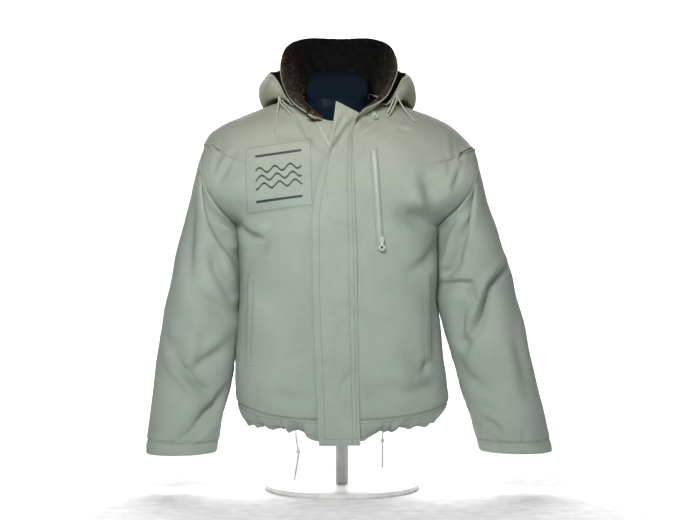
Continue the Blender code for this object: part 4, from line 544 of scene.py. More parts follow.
SLEEVE_CREASES = (
    Crease(FRONT, 0.0075, 0.0062, -0.6, ((-0.266, 0.600), (-0.258, 0.572), (-0.248, 0.531),
                                        (-0.236, 0.496), (-0.218, 0.462), (-0.202, 0.443))),
    Crease(FRONT, 0.0070, 0.0036, 0.4, ((-0.262, 0.648), (-0.254, 0.606), (-0.248, 0.566))),
    Crease(FRONT, 0.0090, 0.0058, -0.7, ((-0.246, 0.460), (-0.238, 0.420), (-0.222, 0.380))),
    Crease(FRONT, 0.0060, 0.0040, 0.6, ((-0.242, 0.538), (-0.226, 0.520), (-0.212, 0.506))),
    Crease(FRONT, 0.0050, 0.0026, 0.5, ((-0.237, 0.520), (-0.226, 0.498), (-0.214, 0.480))),
    Crease(FRONT, 0.0100, 0.0032, 0.4, ((-0.286, 0.566), (-0.291, 0.512), (-0.293, 0.462),
                                       (-0.290, 0.416))),
    Crease(FRONT, 0.0120, 0.0040, 0.5, ((-0.268, 0.378), (-0.246, 0.356), (-0.228, 0.338))),
    Crease(FRONT, 0.0100, 0.0030, 0.4, ((-0.262, 0.306), (-0.266, 0.276), (-0.272, 0.258))),
    Crease(FRONT, 0.0070, 0.0058, 0.8, ((-0.322, 0.264), (-0.298, 0.236), (-0.277, 0.210),
                                       (-0.254, 0.189))),
    Crease(FRONT, 0.0120, 0.0046, -0.4, ((-0.277, 0.236), (-0.256, 0.252), (-0.232, 0.268))),
    Crease(FRONT, 0.0080, 0.0062, 0.5, ((-0.308, 0.101), (-0.283, 0.116), (-0.257, 0.144),
                                       (-0.223, 0.205))),
    Crease(FRONT, 0.0090, 0.0020, 0.4, ((-0.345, 0.330), (-0.338, 0.300), (-0.326, 0.276))),
    Crease(FRONT, 0.0075, 0.0066, 0.6, ((0.253, 0.642), (0.246, 0.608), (0.243, 0.566),
                                       (0.237, 0.524), (0.228, 0.480), (0.218, 0.440),
                                       (0.200, 0.419))),
    Crease(FRONT, 0.0055, 0.0050, 0.5, ((0.220, 0.497), (0.214, 0.461), (0.200, 0.425))),
    Crease(FRONT, 0.0045, 0.0040, 0.6, ((0.190, 0.548), (0.190, 0.524), (0.188, 0.508))),
    Crease(FRONT, 0.0040, 0.0034, 0.5, ((0.200, 0.536), (0.199, 0.518), (0.194, 0.500))),
    Crease(FRONT, 0.0060, 0.0044, -0.6, ((0.194, 0.397), (0.226, 0.402), (0.243, 0.400),
                                        (0.250, 0.370))),
    Crease(FRONT, 0.0080, 0.0056, 0.7, ((0.320, 0.433), (0.284, 0.396), (0.266, 0.342),
                                       (0.252, 0.308), (0.236, 0.282))),
    Crease(FRONT, 0.0090, 0.0048, -0.5, ((0.228, 0.354), (0.226, 0.296), (0.236, 0.278))),
    Crease(FRONT, 0.0110, 0.0036, 0.4, ((0.218, 0.272), (0.236, 0.230), (0.276, 0.194))),
    Crease(FRONT, 0.0050, 0.0034, 0.5, ((0.271, 0.137), (0.286, 0.131), (0.300, 0.121))),
    Crease(FRONT, 0.0045, 0.0030, 0.5, ((0.250, 0.132), (0.260, 0.128), (0.268, 0.120))),
    Crease(FRONT, 0.0045, 0.0026, 0.5, ((0.276, 0.116), (0.288, 0.108), (0.294, 0.100))),
    Crease(FRONT, 0.0045, 0.0018, 0.4, ((0.345, 0.120), (0.345, 0.100))),
    Crease(FRONT, 0.0080, 0.0020, 0.4, ((0.263, 0.174), (0.292, 0.156))),
    Crease(FRONT, 0.0120, 0.0026, 0.3, ((0.330, 0.300), (0.346, 0.240), (0.350, 0.190))),
    Crease(BACK, 0.0080, 0.0056, 0.6, ((-0.262, 0.620), (-0.248, 0.560), (-0.226, 0.500),
                                      (-0.208, 0.452))),
    Crease(BACK, 0.0090, 0.0050, 0.6, ((-0.318, 0.350), (-0.280, 0.312), (-0.236, 0.300))),
    Crease(BACK, 0.0090, 0.0054, 0.6, ((-0.336, 0.276), (-0.290, 0.240), (-0.240, 0.236))),
    Crease(BACK, 0.0080, 0.0044, 0.5, ((-0.330, 0.170), (-0.290, 0.142), (-0.250, 0.140))),
    Crease(BACK, 0.0080, 0.0056, 0.6, ((0.250, 0.620), (0.238, 0.560), (0.218, 0.500),
                                      (0.196, 0.440))),
    Crease(BACK, 0.0090, 0.0052, 0.6, ((0.326, 0.360), (0.282, 0.320), (0.230, 0.306))),
    Crease(BACK, 0.0090, 0.0050, 0.6, ((0.356, 0.270), (0.310, 0.236), (0.256, 0.232))),
    Crease(BACK, 0.0080, 0.0042, 0.5, ((0.366, 0.170), (0.320, 0.146), (0.280, 0.150))),
)


def soft_noise(points, size, seed):
    """Smooth unevenness of about -1 to 1, with waves of about this size."""
    rng = np.random.default_rng(seed)
    ways = rng.normal(size=(9, 3))
    ways = ways / np.linalg.norm(ways, axis=1, keepdims=True)
    rates = rng.uniform(0.75, 1.35, 9) * 2 * math.pi / size
    starts = rng.uniform(0.0, 2 * math.pi, 9)
    return np.sin(points @ (ways * rates[:, None]).T + starts).sum(axis=-1) / 3.0


CREASE_DEPTH = 2.2            # all the creases' depths are multiplied by this
SEAM_RISE = 1.5 * MM
SEAM_RISE_WIDTH = 4.0 * MM
SEAM_REACH = 40.0 * MM
PUCKER = 0.55 * MM
PUCKER_REACH = 13.0 * MM
PUCKER_SIZE = 13.0 * MM
SLACK = 1.1 * MM              # uneven fill and slack of the cloth
SLACK_SIZE = 0.085
SLACK_FROM_SEAM = 20.0 * MM
SOFT_PADDING = 2.5 * MM       # creases deeper than this also bend the lining


def crease_height(points, faces, creases):
    """Sum of the creases at some points; faces is -1 to 1 from front to back."""
    height = np.zeros(points.shape[:-1])
    flat = points[..., (0, 2)]
    for crease in creases:
        route = np.array(crease.route)
        lengths = np.linalg.norm(np.diff(route, axis=0), axis=1)
        nearest = np.full(height.shape, 1.0)
        beside = np.zeros(height.shape)
        place = np.zeros(height.shape)
        passed = 0.0
        for start, end, length in zip(route, route[1:], lengths):
            run = (end - start) / length
            offset = flat - start
            along = np.clip(offset @ run, 0.0, length)
            away = np.linalg.norm(offset - along[..., None] * run, axis=-1)
            side = np.sign(offset[..., 0] * run[1] - offset[..., 1] * run[0])
            nearer = away < nearest
            nearest = np.where(nearer, away, nearest)
            beside = np.where(nearer, side * away, beside)
            place = np.where(nearer, (passed + along) / lengths.sum(), place)
            passed += length
        fade = np.sin(math.pi * (0.10 + 0.80 * place)) ** 0.8
        near = beside / crease.width
        trough = np.exp(-near ** 2)
        ridge = abs(crease.ridge) * np.exp(-((near * np.sign(crease.ridge) - 1.9) / 1.2) ** 2)
        facing = np.clip(faces * crease.face * 2.2, 0.0, 1.0)
        height += CREASE_DEPTH * crease.depth * fade * facing * (ridge - trough)
    return height


def seam_shape(distance, points, seed):
    """Padded cloth beside a seam: it rises from the seam, with small puckers."""
    off = 1.0 - np.exp(-(distance / SEAM_RISE_WIDTH) ** 2)
    rise = SEAM_RISE * off * np.exp(-(distance / SEAM_REACH) ** 2)
    pucker = PUCKER * off * np.exp(-(distance / PUCKER_REACH) ** 2)
    return rise + pucker * soft_noise(points, PUCKER_SIZE, seed)


# Rough lengths along the surfaces, which turn parameters into distances from a seam.
BODY_LENGTH = 0.36
YOKE_LENGTH = 0.11
QUARTER_WIDTH = 0.26
HEM_PER_LEVEL = 0.30
SLEEVE_LENGTH = 0.58
SLEEVE_RADIUS = 0.08


class Torso:
    """The jacket's body on one side and one face, with its folds and creases."""

    limits = (HEM, NECKLINE, 0.0, 1.0)

    def __init__(self, side, face):
        self.side = side
        self.face = face

    def __call__(self, v, c):
        return torso_plain(self.side, self.face, v, c)

    def normal(self, v, c):
        return self.side * self.face * normals_of(self, v, c)

    def seam_distance(self, v, c):
        casing = np.where(v >= 0.0, v * BODY_LENGTH, -v * HEM_PER_LEVEL)
        neck = np.where(v > SHOULDER_POINT, (NECKLINE - v) * YOKE_LENGTH, 1.0)
        nearest = np.minimum(np.minimum(casing, neck), (1.0 - c) * QUARTER_WIDTH)
        if self.face == FRONT:
            nearest = np.minimum(nearest, c * QUARTER_WIDTH)
        return nearest

    def heights(self, v, c, plain, normal):
        """Heights of the outer face and of the lining over the plain surface."""
        large = fold_height(plain, normal[..., 1], TORSO_FOLDS)
        large = large * np.clip((2.55 - v) / 0.3, 0.0, 1.0)
        low = np.clip(-v / -HEM, 0.0, 1.0)
        for gather in HEM_GATHERS:
            large = large + low * gather.height * np.exp(-((c - gather.c) / gather.width) ** 2)
        distance = self.seam_distance(v, c)
        small = crease_height(plain, normal[..., 1], TORSO_CREASES)
        small = small * np.clip((NECKLINE - v) / 0.12, 0.0, 1.0)
        small = small + seam_shape(distance, plain, 3) * np.clip(1.55 - v, 0.12, 1.0)
        away = 1.0 - np.exp(-(distance / SLACK_FROM_SEAM) ** 2)
        small = small + away * SLACK * soft_noise(plain, SLACK_SIZE, 5)
        across = self.side * (c + 0.02 * np.sin(9.0 * v)) * QUARTER_WIDTH
        drawn = sum(size * np.sin(2 * math.pi * across / pitch + start)
                    for pitch, size, start in GATHER_WAVES)
        drawn = drawn * (0.5 + 1.6 * np.exp(-((c - GATHER_PLACE) / GATHER_SPREAD) ** 2))
        small = small + drawn * np.clip(-v / 0.06, 0.0, 1.0) * np.clip((c - 0.05) / 0.05, 0.0, 1.0)
        lining = large + np.minimum(small + SOFT_PADDING, 0.0)
        return large + small, lining

    def grid(self, v, c):
        """Outer points, lining points and outward directions."""
        plain = self(v, c)
        normal = self.normal(v, c)
        outer, lining = self.heights(v, c, plain, normal)
        moved = plain + side_swell(self.side, "body", plain, normal)
        return moved + outer[..., None] * normal, moved + lining[..., None] * normal, normal


# Where each sleeve and the side of the body swell towards each other under the arm.
Swell = namedtuple("Swell", "z body sleeve")
RIGHT_SWELLS = (
    Swell(0.148, 0.0000, 0.0000),
    Swell(0.190, 0.0000, 0.0070),
    Swell(0.277, 0.0000, 0.0095),
    Swell(0.322, 0.0000, 0.0118),
    Swell(0.345, 0.0000, 0.0058),
    Swell(0.360, 0.0000, 0.0062),
    Swell(0.376, 0.0005, 0.0072),
    Swell(0.406, 0.0022, 0.0066),
    Swell(0.436, 0.0060, 0.0048),
    Swell(0.454, 0.0078, 0.0054),
    Swell(0.480, 0.0082, 0.0068),
    Swell(0.498, 0.0068, 0.0062),
    Swell(0.510, 0.0040, 0.0034),
    Swell(0.524, 0.0000, 0.0000),
)
LEFT_SWELLS = (
    Swell(0.148, 0.0000, 0.0000),
    Swell(0.190, 0.0000, 0.0045),
    Swell(0.277, 0.0000, 0.0032),
    Swell(0.322, 0.0010, 0.0038),
    Swell(0.345, 0.0000, 0.0050),
    Swell(0.360, 0.0000, 0.0058),
    Swell(0.376, 0.0012, 0.0054),
    Swell(0.406, 0.0062, 0.0006),
    Swell(0.436, 0.0088, 0.0004),
    Swell(0.454, 0.0110, 0.0014),
    Swell(0.480, 0.0104, 0.0050),
    Swell(0.498, 0.0078, 0.0056),
    Swell(0.510, 0.0044, 0.0034),
    Swell(0.524, 0.0000, 0.0000),
)


def side_swell(side, column, points, normals):
    """Sideways shift of the points that face the gap under the arm."""
    rows = RIGHT_SWELLS if side == RIGHT else LEFT_SWELLS
    knots = [row.z for row in rows]
    values = [getattr(row, column) for row in rows]
    amount = np.interp(points[..., 2], knots, values, left=0.0, right=0.0)
    way = side if column == "body" else -side
    facing = np.clip(normals[..., 0] * way * 1.6 - 0.2, 0.0, 1.0)
    shift = np.zeros(points.shape)
    shift[..., 0] = way * amount * facing * facing * (3 - 2 * facing)
    return shift


# Fine waves that the hem's cord draws up: spacing, height and start of each.
GATHER_WAVES = ((0.0190, 0.0006, 0.4), (0.0123, 0.0004, 1.9), (0.0300, 0.0006, 3.0))
GATHER_PLACE = 0.26           # the cord draws the casing up most near this step round the front
GATHER_SPREAD = 0.16


class Sleeve:
    limits = (0.0, 1.0, -10.0, 10.0)

    def __init__(self, side):
        self.side = side

    def __call__(self, s, turn):
        return sleeve_ring(self.side, s, turn)

    def heights(self, s, turn, plain, normal):
        large = fold_height(plain, normal[..., 1], SLEEVE_FOLDS)
        ends = np.clip(s / 0.05, 0.0, 1.0) * np.clip((1.0 - s) / 0.06, 0.0, 1.0)
        large = large * ends
        under = np.abs((turn % (2 * math.pi)) - math.pi) * SLEEVE_RADIUS
        top = s * SLEEVE_LENGTH
        cuff = np.abs(s - CUFF_SEAM) * SLEEVE_LENGTH
        distance = np.minimum(np.minimum(top, cuff), under)
        small = crease_height(plain, normal[..., 1], SLEEVE_CREASES)
        small = small * np.clip(s / 0.025, 0.0, 1.0) * np.clip((1.0 - s) / 0.04, 0.0, 1.0)
        upper = 0.5 + 0.5 * np.cos(turn)
        near_top = np.exp(-(s / 0.10) ** 2) * np.clip(upper * 1.6, 0.0, 0.88)
        small = small + seam_shape(distance, plain, 8) * (1.0 - near_top)
        away = 1.0 - np.exp(-(distance / SLACK_FROM_SEAM) ** 2)
        small = small + away * SLACK * soft_noise(plain, SLACK_SIZE, 6)
        lining = large + np.minimum(small + SOFT_PADDING, 0.0)
        return large + small, lining

    def grid(self, s, turn):
        plain = self(s, turn)
        normal = self.side * normals_of(self, s, turn)
        outer, lining = self.heights(s, turn, plain, normal)
        moved = plain + side_swell(self.side, "sleeve", plain, normal)
        return moved + outer[..., None] * normal, moved + lining[..., None] * normal, normal


def armhole_normals(side, face, v):
    """One direction at each armhole point, shared by the panels and the sleeve that meet there."""
    panel = Torso(side, face).normal(v, np.ones_like(v))
    other = Torso(side, -face).normal(v, np.ones_like(v))
    shared = np.abs(v - 1.5)[..., None] > 0.499
    panel = np.where(shared, (panel + other) / 2, panel)
    turn = face * math.pi * (1 - np.clip(v - ARMPIT, 0.0, 1.0))
    sleeve = side * normals_of(Sleeve(side), np.zeros_like(v), turn)
    both = panel + sleeve
    both[..., 2] -= ARMPIT_BIAS * np.clip(1.35 - v, 0.0, 0.35) / 0.35
    return both / np.linalg.norm(both, axis=-1, keepdims=True)


def pull_edge(grid, edge, gap):
    """Move one edge of a grid of points towards the line of points beside it."""
    views = {
        "bottom": (grid[0], grid[1]),
        "top": (grid[-1], grid[-2]),
        "first": (grid[:, 0], grid[:, 1]),
        "last": (grid[:, -1], grid[:, -2]),
    }
    line, beside = views[edge]
    way = beside - line
    line += gap * way / np.maximum(np.linalg.norm(way, axis=-1, keepdims=True), 1e-9)


def grid_faces(rows, columns, first, around):
    """Corner numbers of the faces of a grid of points."""
    across = columns if around else columns - 1
    row, column = np.meshgrid(np.arange(rows - 1), np.arange(across), indexing="ij")
    other = (column + 1) % columns
    corners = np.stack((row * columns + column, row * columns + other,
                        (row + 1) * columns + other, (row + 1) * columns + column), axis=-1)
    return corners.reshape(-1, 4) + first


def link_mesh(name, points, faces, materials, sharp=None):
    mesh = bpy.data.meshes.new(name)
    mesh.from_pydata(points.tolist(), [], faces.tolist())
    for material in materials:
        mesh.materials.append(material)
    mesh.shade_smooth()
    if sharp is not None:
        mesh.set_sharp_from_angle(angle=math.radians(sharp))
    item = bpy.data.objects.new(name, mesh)
    bpy.context.scene.collection.objects.link(item)
    return item


def shell(name, outer, inner, materials, around=False):
    """A closed cloth piece between two grids; its inner side takes the second material."""
    rows, columns = outer.shape[:2]
    count = rows * columns
    points = np.concatenate((outer.reshape(-1, 3), inner.reshape(-1, 3)))
    face = grid_faces(rows, columns, 0, around)
    corner = points[face[:, :3]]
    facing = np.cross(corner[:, 1] - corner[:, 0], corner[:, 2] - corner[:, 0])
    outward = (outer - inner).reshape(-1, 3)[face[:, 0]]
    if np.sum(facing * outward) < 0:
        face = face[:, ::-1]
    back = face[:, ::-1] + count
    edges = {}
    for corners in face:
        for start, end in zip(corners, np.roll(corners, -1)):
            if (end, start) in edges:
                del edges[(end, start)]
            else:
                edges[(start, end)] = True
    rim = np.array([(end, start, start + count, end + count) for start, end in edges])
    item = link_mesh(name, points, np.concatenate((face, back, rim)), materials, sharp=55.0)
    lining = len(materials) - 1
    index = np.concatenate((np.zeros(len(face), int), np.full(len(back), lining, int),
                            np.zeros(len(rim), int)))
    item.data.polygons.foreach_set("material_index", index)
    return item


def dress(item, slot, *nodes, body="jacket"):
    """A piece of the picture that rides with the jacket and stands for some of its solids."""
    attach(item, body)
    if nodes:
        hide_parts(*nodes)
    return item


def quarter(side, face, levels, count):
    v, c = np.meshgrid(levels, np.linspace(0.0, 1.0, count + 1), indexing="ij")
    points, lining, normals = Torso(side, face).grid(v, c)
    opening = (levels >= ARMPIT) & (levels <= SHOULDER_POINT)
    if opening.any():
        normals[opening, -1] = armhole_normals(side, face, levels[opening])
    return points, lining - PADDED_WALL * normals


def both_quarters(face, levels, count):
    right = quarter(RIGHT, face, levels, count)
    left = quarter(LEFT, face, levels, count)
    return [np.concatenate((one[:, ::-1], other[:, 1:]), axis=1) for one, other in zip(right, left)]


def torso_levels():
    return np.concatenate((np.linspace(CASING_SEAM, ARMPIT, BODY_STEPS + 1),
                           np.linspace(ARMPIT, SHOULDER_POINT, ARMHOLE_STEPS + 1)[1:],
                           np.linspace(SHOULDER_POINT, NECKLINE, SHOULDER_STEPS + 1)[1:]))


def make_panels(cloth, lining):
    """The two fronts and the back. Returns the fronts' and the back's outer points."""
    guides = []
    for side, name in ((RIGHT, "front_right"), (LEFT, "front_left")):
        outer, inner = quarter(side, FRONT, torso_levels(), FRONT_STEPS)
        guides.append(outer.copy())
        for grid in (outer, inner):
            pull_edge(grid, "first", FRONT_EDGE_GAP)
            for edge in ("last", "bottom", "top"):
                pull_edge(grid, edge, SEAM_SHOW)
        item = dress(shell("look_" + name, outer, inner, (cloth, lining)), "shell", name)
    outer, inner = both_quarters(BACK, torso_levels(), BACK_STEPS)
    guides.append(outer.copy())
    for grid in (outer, inner):
        for edge in ("first", "last", "bottom", "top"):
            pull_edge(grid, edge, SEAM_SHOW)
    item = dress(shell("look_back", outer, inner, (cloth, lining)), "shell", "back")
    return guides


HEM_BINDING = 0.022           # height of the bound edge, as a step along the sections
BINDING_HEIGHT = 1.1 * MM


def make_hem(cloth, lining):
    """The casing round the hem, drawn up on its cord, with a narrow bound edge."""
    levels = np.linspace(HEM, CASING_SEAM, HEM_BAND_STEPS + 1)
    bound = np.linspace(HEM, HEM + HEM_BINDING, 4)
    right = quarter(RIGHT, FRONT, levels, HEM_STEPS)
    left = quarter(LEFT, FRONT, levels, HEM_STEPS)
    back = both_quarters(BACK, levels, HEM_STEPS)
    pieces = (("hem_front_right", right, 0.22, 0.0110), ("hem_front_left", left, 0.22, 0.0110),
              ("hem_back", back, 0.46, 0.0230))
    for name, (outer, inner), width, area in pieces:
        for grid in (outer, inner):
            pull_edge(grid, "first", FRONT_EDGE_GAP if name != "hem_back" else SEAM_SHOW)
            pull_edge(grid, "last", SEAM_SHOW)
            pull_edge(grid, "top", SEAM_SHOW)
        item = dress(shell("look_" + name, outer, inner, (cloth, lining)), "shell", name)
    edges = (("front_right", quarter(RIGHT, FRONT, bound, HEM_STEPS)),
             ("front_left", quarter(LEFT, FRONT, bound, HEM_STEPS)),
             ("back", both_quarters(BACK, bound, HEM_STEPS)))
    for name, (outer, inner) in edges:
        out = outer - inner
        out = out / np.linalg.norm(out, axis=-1, keepdims=True)
        if name != "back":
            for grid in (outer, inner):
                pull_edge(grid, "first", FRONT_EDGE_GAP)
        crown = np.array((0.4, 1.0, 1.0, 0.5))[:, None, None] * BINDING_HEIGHT
        item = shell("hem_edge_" + name, outer + out * crown, outer + out * 0.1 * MM, (cloth,))
        dress(item, "shell")


def sleeve_rings(side, rows):
    turns = np.linspace(0.0, 2 * math.pi, SLEEVE_AROUND, endpoint=False)
    s, turn = np.meshgrid(rows, turns, indexing="ij")
    points, lining, normals = Sleeve(side).grid(s, turn)
    if rows[0] == 0.0:
        for index, angle in enumerate(turns):
            face = BACK if angle < math.pi else FRONT
            climb = 1 - (angle if face == BACK else 2 * math.pi - angle) / math.pi
            level = np.array([ARMPIT + climb])
            points[0, index] = torso_edge(side, face, level)[0]
            lining[0, index] = points[0, index]
            normals[0, index] = armhole_normals(side, face, level)[0]
    return points, lining - PADDED_WALL * normals


CUFF_ROUNDING = 0.28          # how far the hem's last ring moves towards the lining


def make_sleeves(cloth, lining):
    for side, suffix in ((RIGHT, "right"), (LEFT, "left")):
        outer, inner = sleeve_rings(side, np.linspace(0.0, CUFF_SEAM, SLEEVE_STEPS + 1))
        for grid in (outer, inner):
            pull_edge(grid, "bottom", SEAM_SHOW)
            pull_edge(grid, "top", SEAM_SHOW)
        item = shell("look_sleeve_" + suffix, outer, inner, (cloth, lining), around=True)
        dress(item, "shell", "sleeve_" + suffix)
        outer, inner = sleeve_rings(side, np.linspace(CUFF_SEAM, 1.0, CUFF_STEPS + 1))
        outer[-1] = outer[-1] + (inner[-1] - outer[-1]) * CUFF_ROUNDING
        pull_edge(outer, "bottom", SEAM_SHOW)
        pull_edge(inner, "bottom", SEAM_SHOW)
        item = shell("look_cuff_" + suffix, outer, inner, (cloth, lining), around=True)
        dress(item, "shell", "cuff_" + suffix)


def neckline_point(turn):
    """Point of the neckline; turn is in degrees from the front, over the wearer's right."""
    side = RIGHT if turn <= 180.0 else LEFT
    from_front = turn if side == RIGHT else 360.0 - turn
    face = FRONT if from_front <= 90.0 else BACK
    c = from_front / 90.0 if face == FRONT else (180.0 - from_front) / 90.0
    return torso_plain(side, face, NECKLINE, c)


def collar_surface():
    """Rows of points up the outside of the collar, its normals and its lip."""
    turns = np.linspace(COLLAR_TOP[0].turn, COLLAR_TOP[-1].turn, COLLAR_STEPS + 1)
    base = np.array([neckline_point(turn) for turn in turns])
    top = np.stack([smooth_column(COLLAR_TOP, axis, turns) for axis in "xyz"], axis=-1)
    bulge = smooth_column(COLLAR_TOP, "bulge", turns)
    lip = smooth_column(COLLAR_TOP, "lip", turns)
    along = np.gradient(base, axis=0)
    out = np.stack((-along[:, 1], along[:, 0], np.zeros(len(turns))), axis=-1)
    out = out / np.linalg.norm(out, axis=-1, keepdims=True)
    out = out * np.sign(np.sum(out * (base - base.mean(axis=0)), axis=-1, keepdims=True))
    points = np.array([base + (top - base) * height
                       + out * (bulge * math.sin(math.pi * height))[:, None]
                       for height in np.linspace(0.0, 1.0, COLLAR_BAND_STEPS + 1)])
    normals = np.cross(np.gradient(points, axis=0), np.gradient(points, axis=1))
    normals = normals / np.linalg.norm(normals, axis=-1, keepdims=True)
    return points, normals * np.sign(np.sum(normals * out[None], axis=-1, keepdims=True)), lip


COLLAR_WAVE = 0.8 * MM
COLLAR_WAVE_SIZE = 0.05
PILE_LUMPS = 0.14             # unevenness of the pile's depth, as a share of it
PILE_LUMP_SIZE = 0.035
PILE_TAPER = 9.0              # columns over which the pile thins towards the collar's ends
CROWN_ROWS = 5                # rows that round the pile over the collar's top


def make_collar(cloth, pile):
    points, normals, lip = collar_surface()
    make_collar_shell(points, normals, cloth)
    surface = make_collar_pile(points, normals, lip, pile)
    make_fur(surface, pile)


def make_collar_shell(points, normals, cloth):
    height = np.linspace(0.0, 1.0, len(points))[:, None]
    wave = COLLAR_WAVE * np.sin(math.pi * height) * soft_noise(points, COLLAR_WAVE_SIZE, 11)
    outer = points + wave[..., None] * normals
    inner = points - SHELL_WALL * normals
    for grid in (outer, inner):
        pull_edge(grid, "bottom", SEAM_SHOW)
    item = dress(shell("look_collar_shell", outer, inner, (cloth,)), "shell", "collar_shell")


def make_collar_pile(points, normals, lip, pile):
    """The pile on the collar's inside, rounded over its top. Returns its outside."""
    rows = np.linspace(0.0, 1.0, len(points))
    depth = PILE_WALL * np.interp(rows, (0.0, 0.25, 0.5, 1.0), (0.6, 0.8, 1.0, 0.9))
    backed = points - (SHELL_WALL + SEAM_GAP) * normals
    lumps = 1.0 + PILE_LUMPS * soft_noise(points, PILE_LUMP_SIZE, 12)
    columns = np.arange(COLLAR_STEPS + 1)
    from_end = np.minimum(columns, COLLAR_STEPS - columns) / PILE_TAPER
    lumps = lumps * np.clip(0.35 + 0.65 * from_end, 0.35, 1.0)[None, :]
    ends = np.clip(from_end / 1.6, 0.1, 1.0)[:, None]
    front = backed - (depth[:, None] * lumps)[..., None] * normals
    rise = points[-1] - points[-2]
    rise = rise / np.linalg.norm(rise, axis=-1, keepdims=True)
    crown = []
    for turn in np.linspace(0.15, 0.85, CROWN_ROWS) * math.pi:
        middle = (backed[-1] + front[-1]) / 2
        half = (backed[-1] - front[-1]) / 2
        up = rise * (0.5 * PILE_WALL * math.sin(turn) + lip[:, None] * math.sin(turn))
        crown.append(middle - half * math.cos(turn) + up * ends)
    surface = np.concatenate((front, np.array(crown)))
    under = np.concatenate((backed, np.repeat(backed[-1:], CROWN_ROWS, axis=0)))
    under[len(backed):] = backed[-1] + (surface[len(front):] - backed[-1]) * 0.3
    pull_edge(surface, "bottom", SEAM_SHOW)
    item = dress(shell("look_collar_pile", surface, under, (pile,)), "pile", "collar_pile")
    return surface


FUR_COUNT = 46000
FUR_LENGTH = 7.5 * MM
FUR_WIDTH = 0.85 * MM
FUR_FROM_END = 8              # columns at the collar's ends that carry no fibres
FUR_LEAN = 0.65               # how far the fibres lie over, as a share of their length


def make_fur(surface, material):
    """Short fibres standing on the pile, each a ribbon that narrows to a point."""
    rng = np.random.default_rng(21)
    across = surface[:-1, 1:] - surface[:-1, :-1]
    up = surface[1:, :-1] - surface[:-1, :-1]
    facing = np.cross(across, up)
    area = np.linalg.norm(facing, axis=-1)
    area[-2:] = 1e-12
    area[:, :FUR_FROM_END] = 1e-12
    area[:, -FUR_FROM_END:] = 1e-12
    normal = facing / area[..., None]
    centre = surface.reshape(-1, 3).mean(axis=0)
    toward = centre - surface[:-1, :-1]
    if np.sum(normal * toward) < 0:
        normal = -normal
    picked = rng.choice(area.size, FUR_COUNT, p=(area / area.sum()).ravel())
    row, column = np.unravel_index(picked, area.shape)
    share = rng.random((2, FUR_COUNT, 1))
    root = surface[row, column] + across[row, column] * share[0] + up[row, column] * share[1]
    tufts = np.stack([soft_noise(root, 0.022, seed) for seed in (31, 32, 33)], axis=-1)
    way = normal[row, column] + FUR_LEAN * (0.55 * tufts + 0.5 * rng.normal(size=(FUR_COUNT, 3)))
    way[:, 2] -= 0.15
    high = (row >= len(area) - 6)[:, None]
    way = np.where(high, way + 0.8 * (centre - root) / np.linalg.norm(centre - root, axis=-1,
                                                                   keepdims=True), way)
    way = way / np.linalg.norm(way, axis=-1, keepdims=True)
    length = FUR_LENGTH * rng.uniform(0.65, 1.15, (FUR_COUNT, 1)) * np.where(high, 0.55, 1.0)
    from_end = np.minimum(column, COLLAR_STEPS - column)[:, None]
    length = length * np.clip(from_end / 30.0 - 0.1, 0.08, 1.0)
    bend = rng.normal(size=(FUR_COUNT, 3)) * 0.22
    side = np.cross(way, rng.normal(size=(FUR_COUNT, 3)))
    side = side / np.linalg.norm(side, axis=-1, keepdims=True) * FUR_WIDTH / 2
    middle = root + way * length * 0.55
    tip = root + (way + bend) * length
    points = np.stack((root - side, root + side, middle + side * 0.8, middle - side * 0.8, tip),
                      axis=1).reshape(-1, 3)
    first = np.arange(FUR_COUNT)[:, None] * 5
    quads = first + np.array((0, 1, 2, 3))
    points_up = first + np.array((3, 2, 4))
    mesh = bpy.data.meshes.new("collar_fur")
    mesh.from_pydata(points.tolist(), [], quads.tolist() + points_up.tolist())
    mesh.materials.append(material)
    item = bpy.data.objects.new("collar_fur", mesh)
    bpy.context.scene.collection.objects.link(item)
    dress(item, "pile")


def hood_surface(tree):
    start = HOOD_CUTS[0].turn
    turns = np.linspace(start, 360.0 - start, HOOD_STEPS + 1)
    folded = np.where(turns <= 180.0, turns, 360.0 - turns)
    base = np.array([neckline_point(turn) for turn in turns])
    along = np.gradient(base, axis=0)
    out = np.stack((-along[:, 1], along[:, 0]), axis=-1)
    out = out / np.linalg.norm(out, axis=-1, keepdims=True)
    out = out * np.sign(np.sum(out * (base[:, :2] - base[:, :2].mean(axis=0)), axis=-1,
                               keepdims=True))
    knots = np.array([row.turn for row in HOOD_CUTS])
    marks = np.arange(len(HOOD_CUTS[0].out), dtype=float)
    fine = np.linspace(0.0, marks[-1], HOOD_PROFILE_STEPS + 1)
    reach = np.where(turns <= 180.0, 1.0, HOOD_LEFT_REACH)
    blend = np.clip(np.abs(turns - 180.0) / 40.0, 0.0, 1.0)
    reach = 1.0 - (1.0 - reach) * blend
    rows = []
    for mark in fine:
        outs = np.array([smooth_values(marks, np.array(row.out), mark) for row in HOOD_CUTS])
        ups = np.array([smooth_values(marks, np.array(row.up), mark) for row in HOOD_CUTS])
        distance = smooth_values(knots, outs, folded) * reach
        height = smooth_values(knots, ups, folded)
        flat = base[:, :2] + out * distance[:, None]
        rows.append(np.column_stack((flat, base[:, 2] + height)))
    points = np.array(rows)
    clear = np.full(points.shape[:2], HOOD_CLEAR)
    clear[0] = HOOD_SEAM_CLEAR
    rest_on(tree, points, clear)
    normals = np.cross(np.gradient(points, axis=1), np.gradient(points, axis=0))
    normals = normals / np.linalg.norm(normals, axis=-1, keepdims=True)
    outside = points[-4] - points[-4].mean(axis=0)
    if np.sum(normals[-4] * outside) < 0:
        normals = -normals
    return points, normals


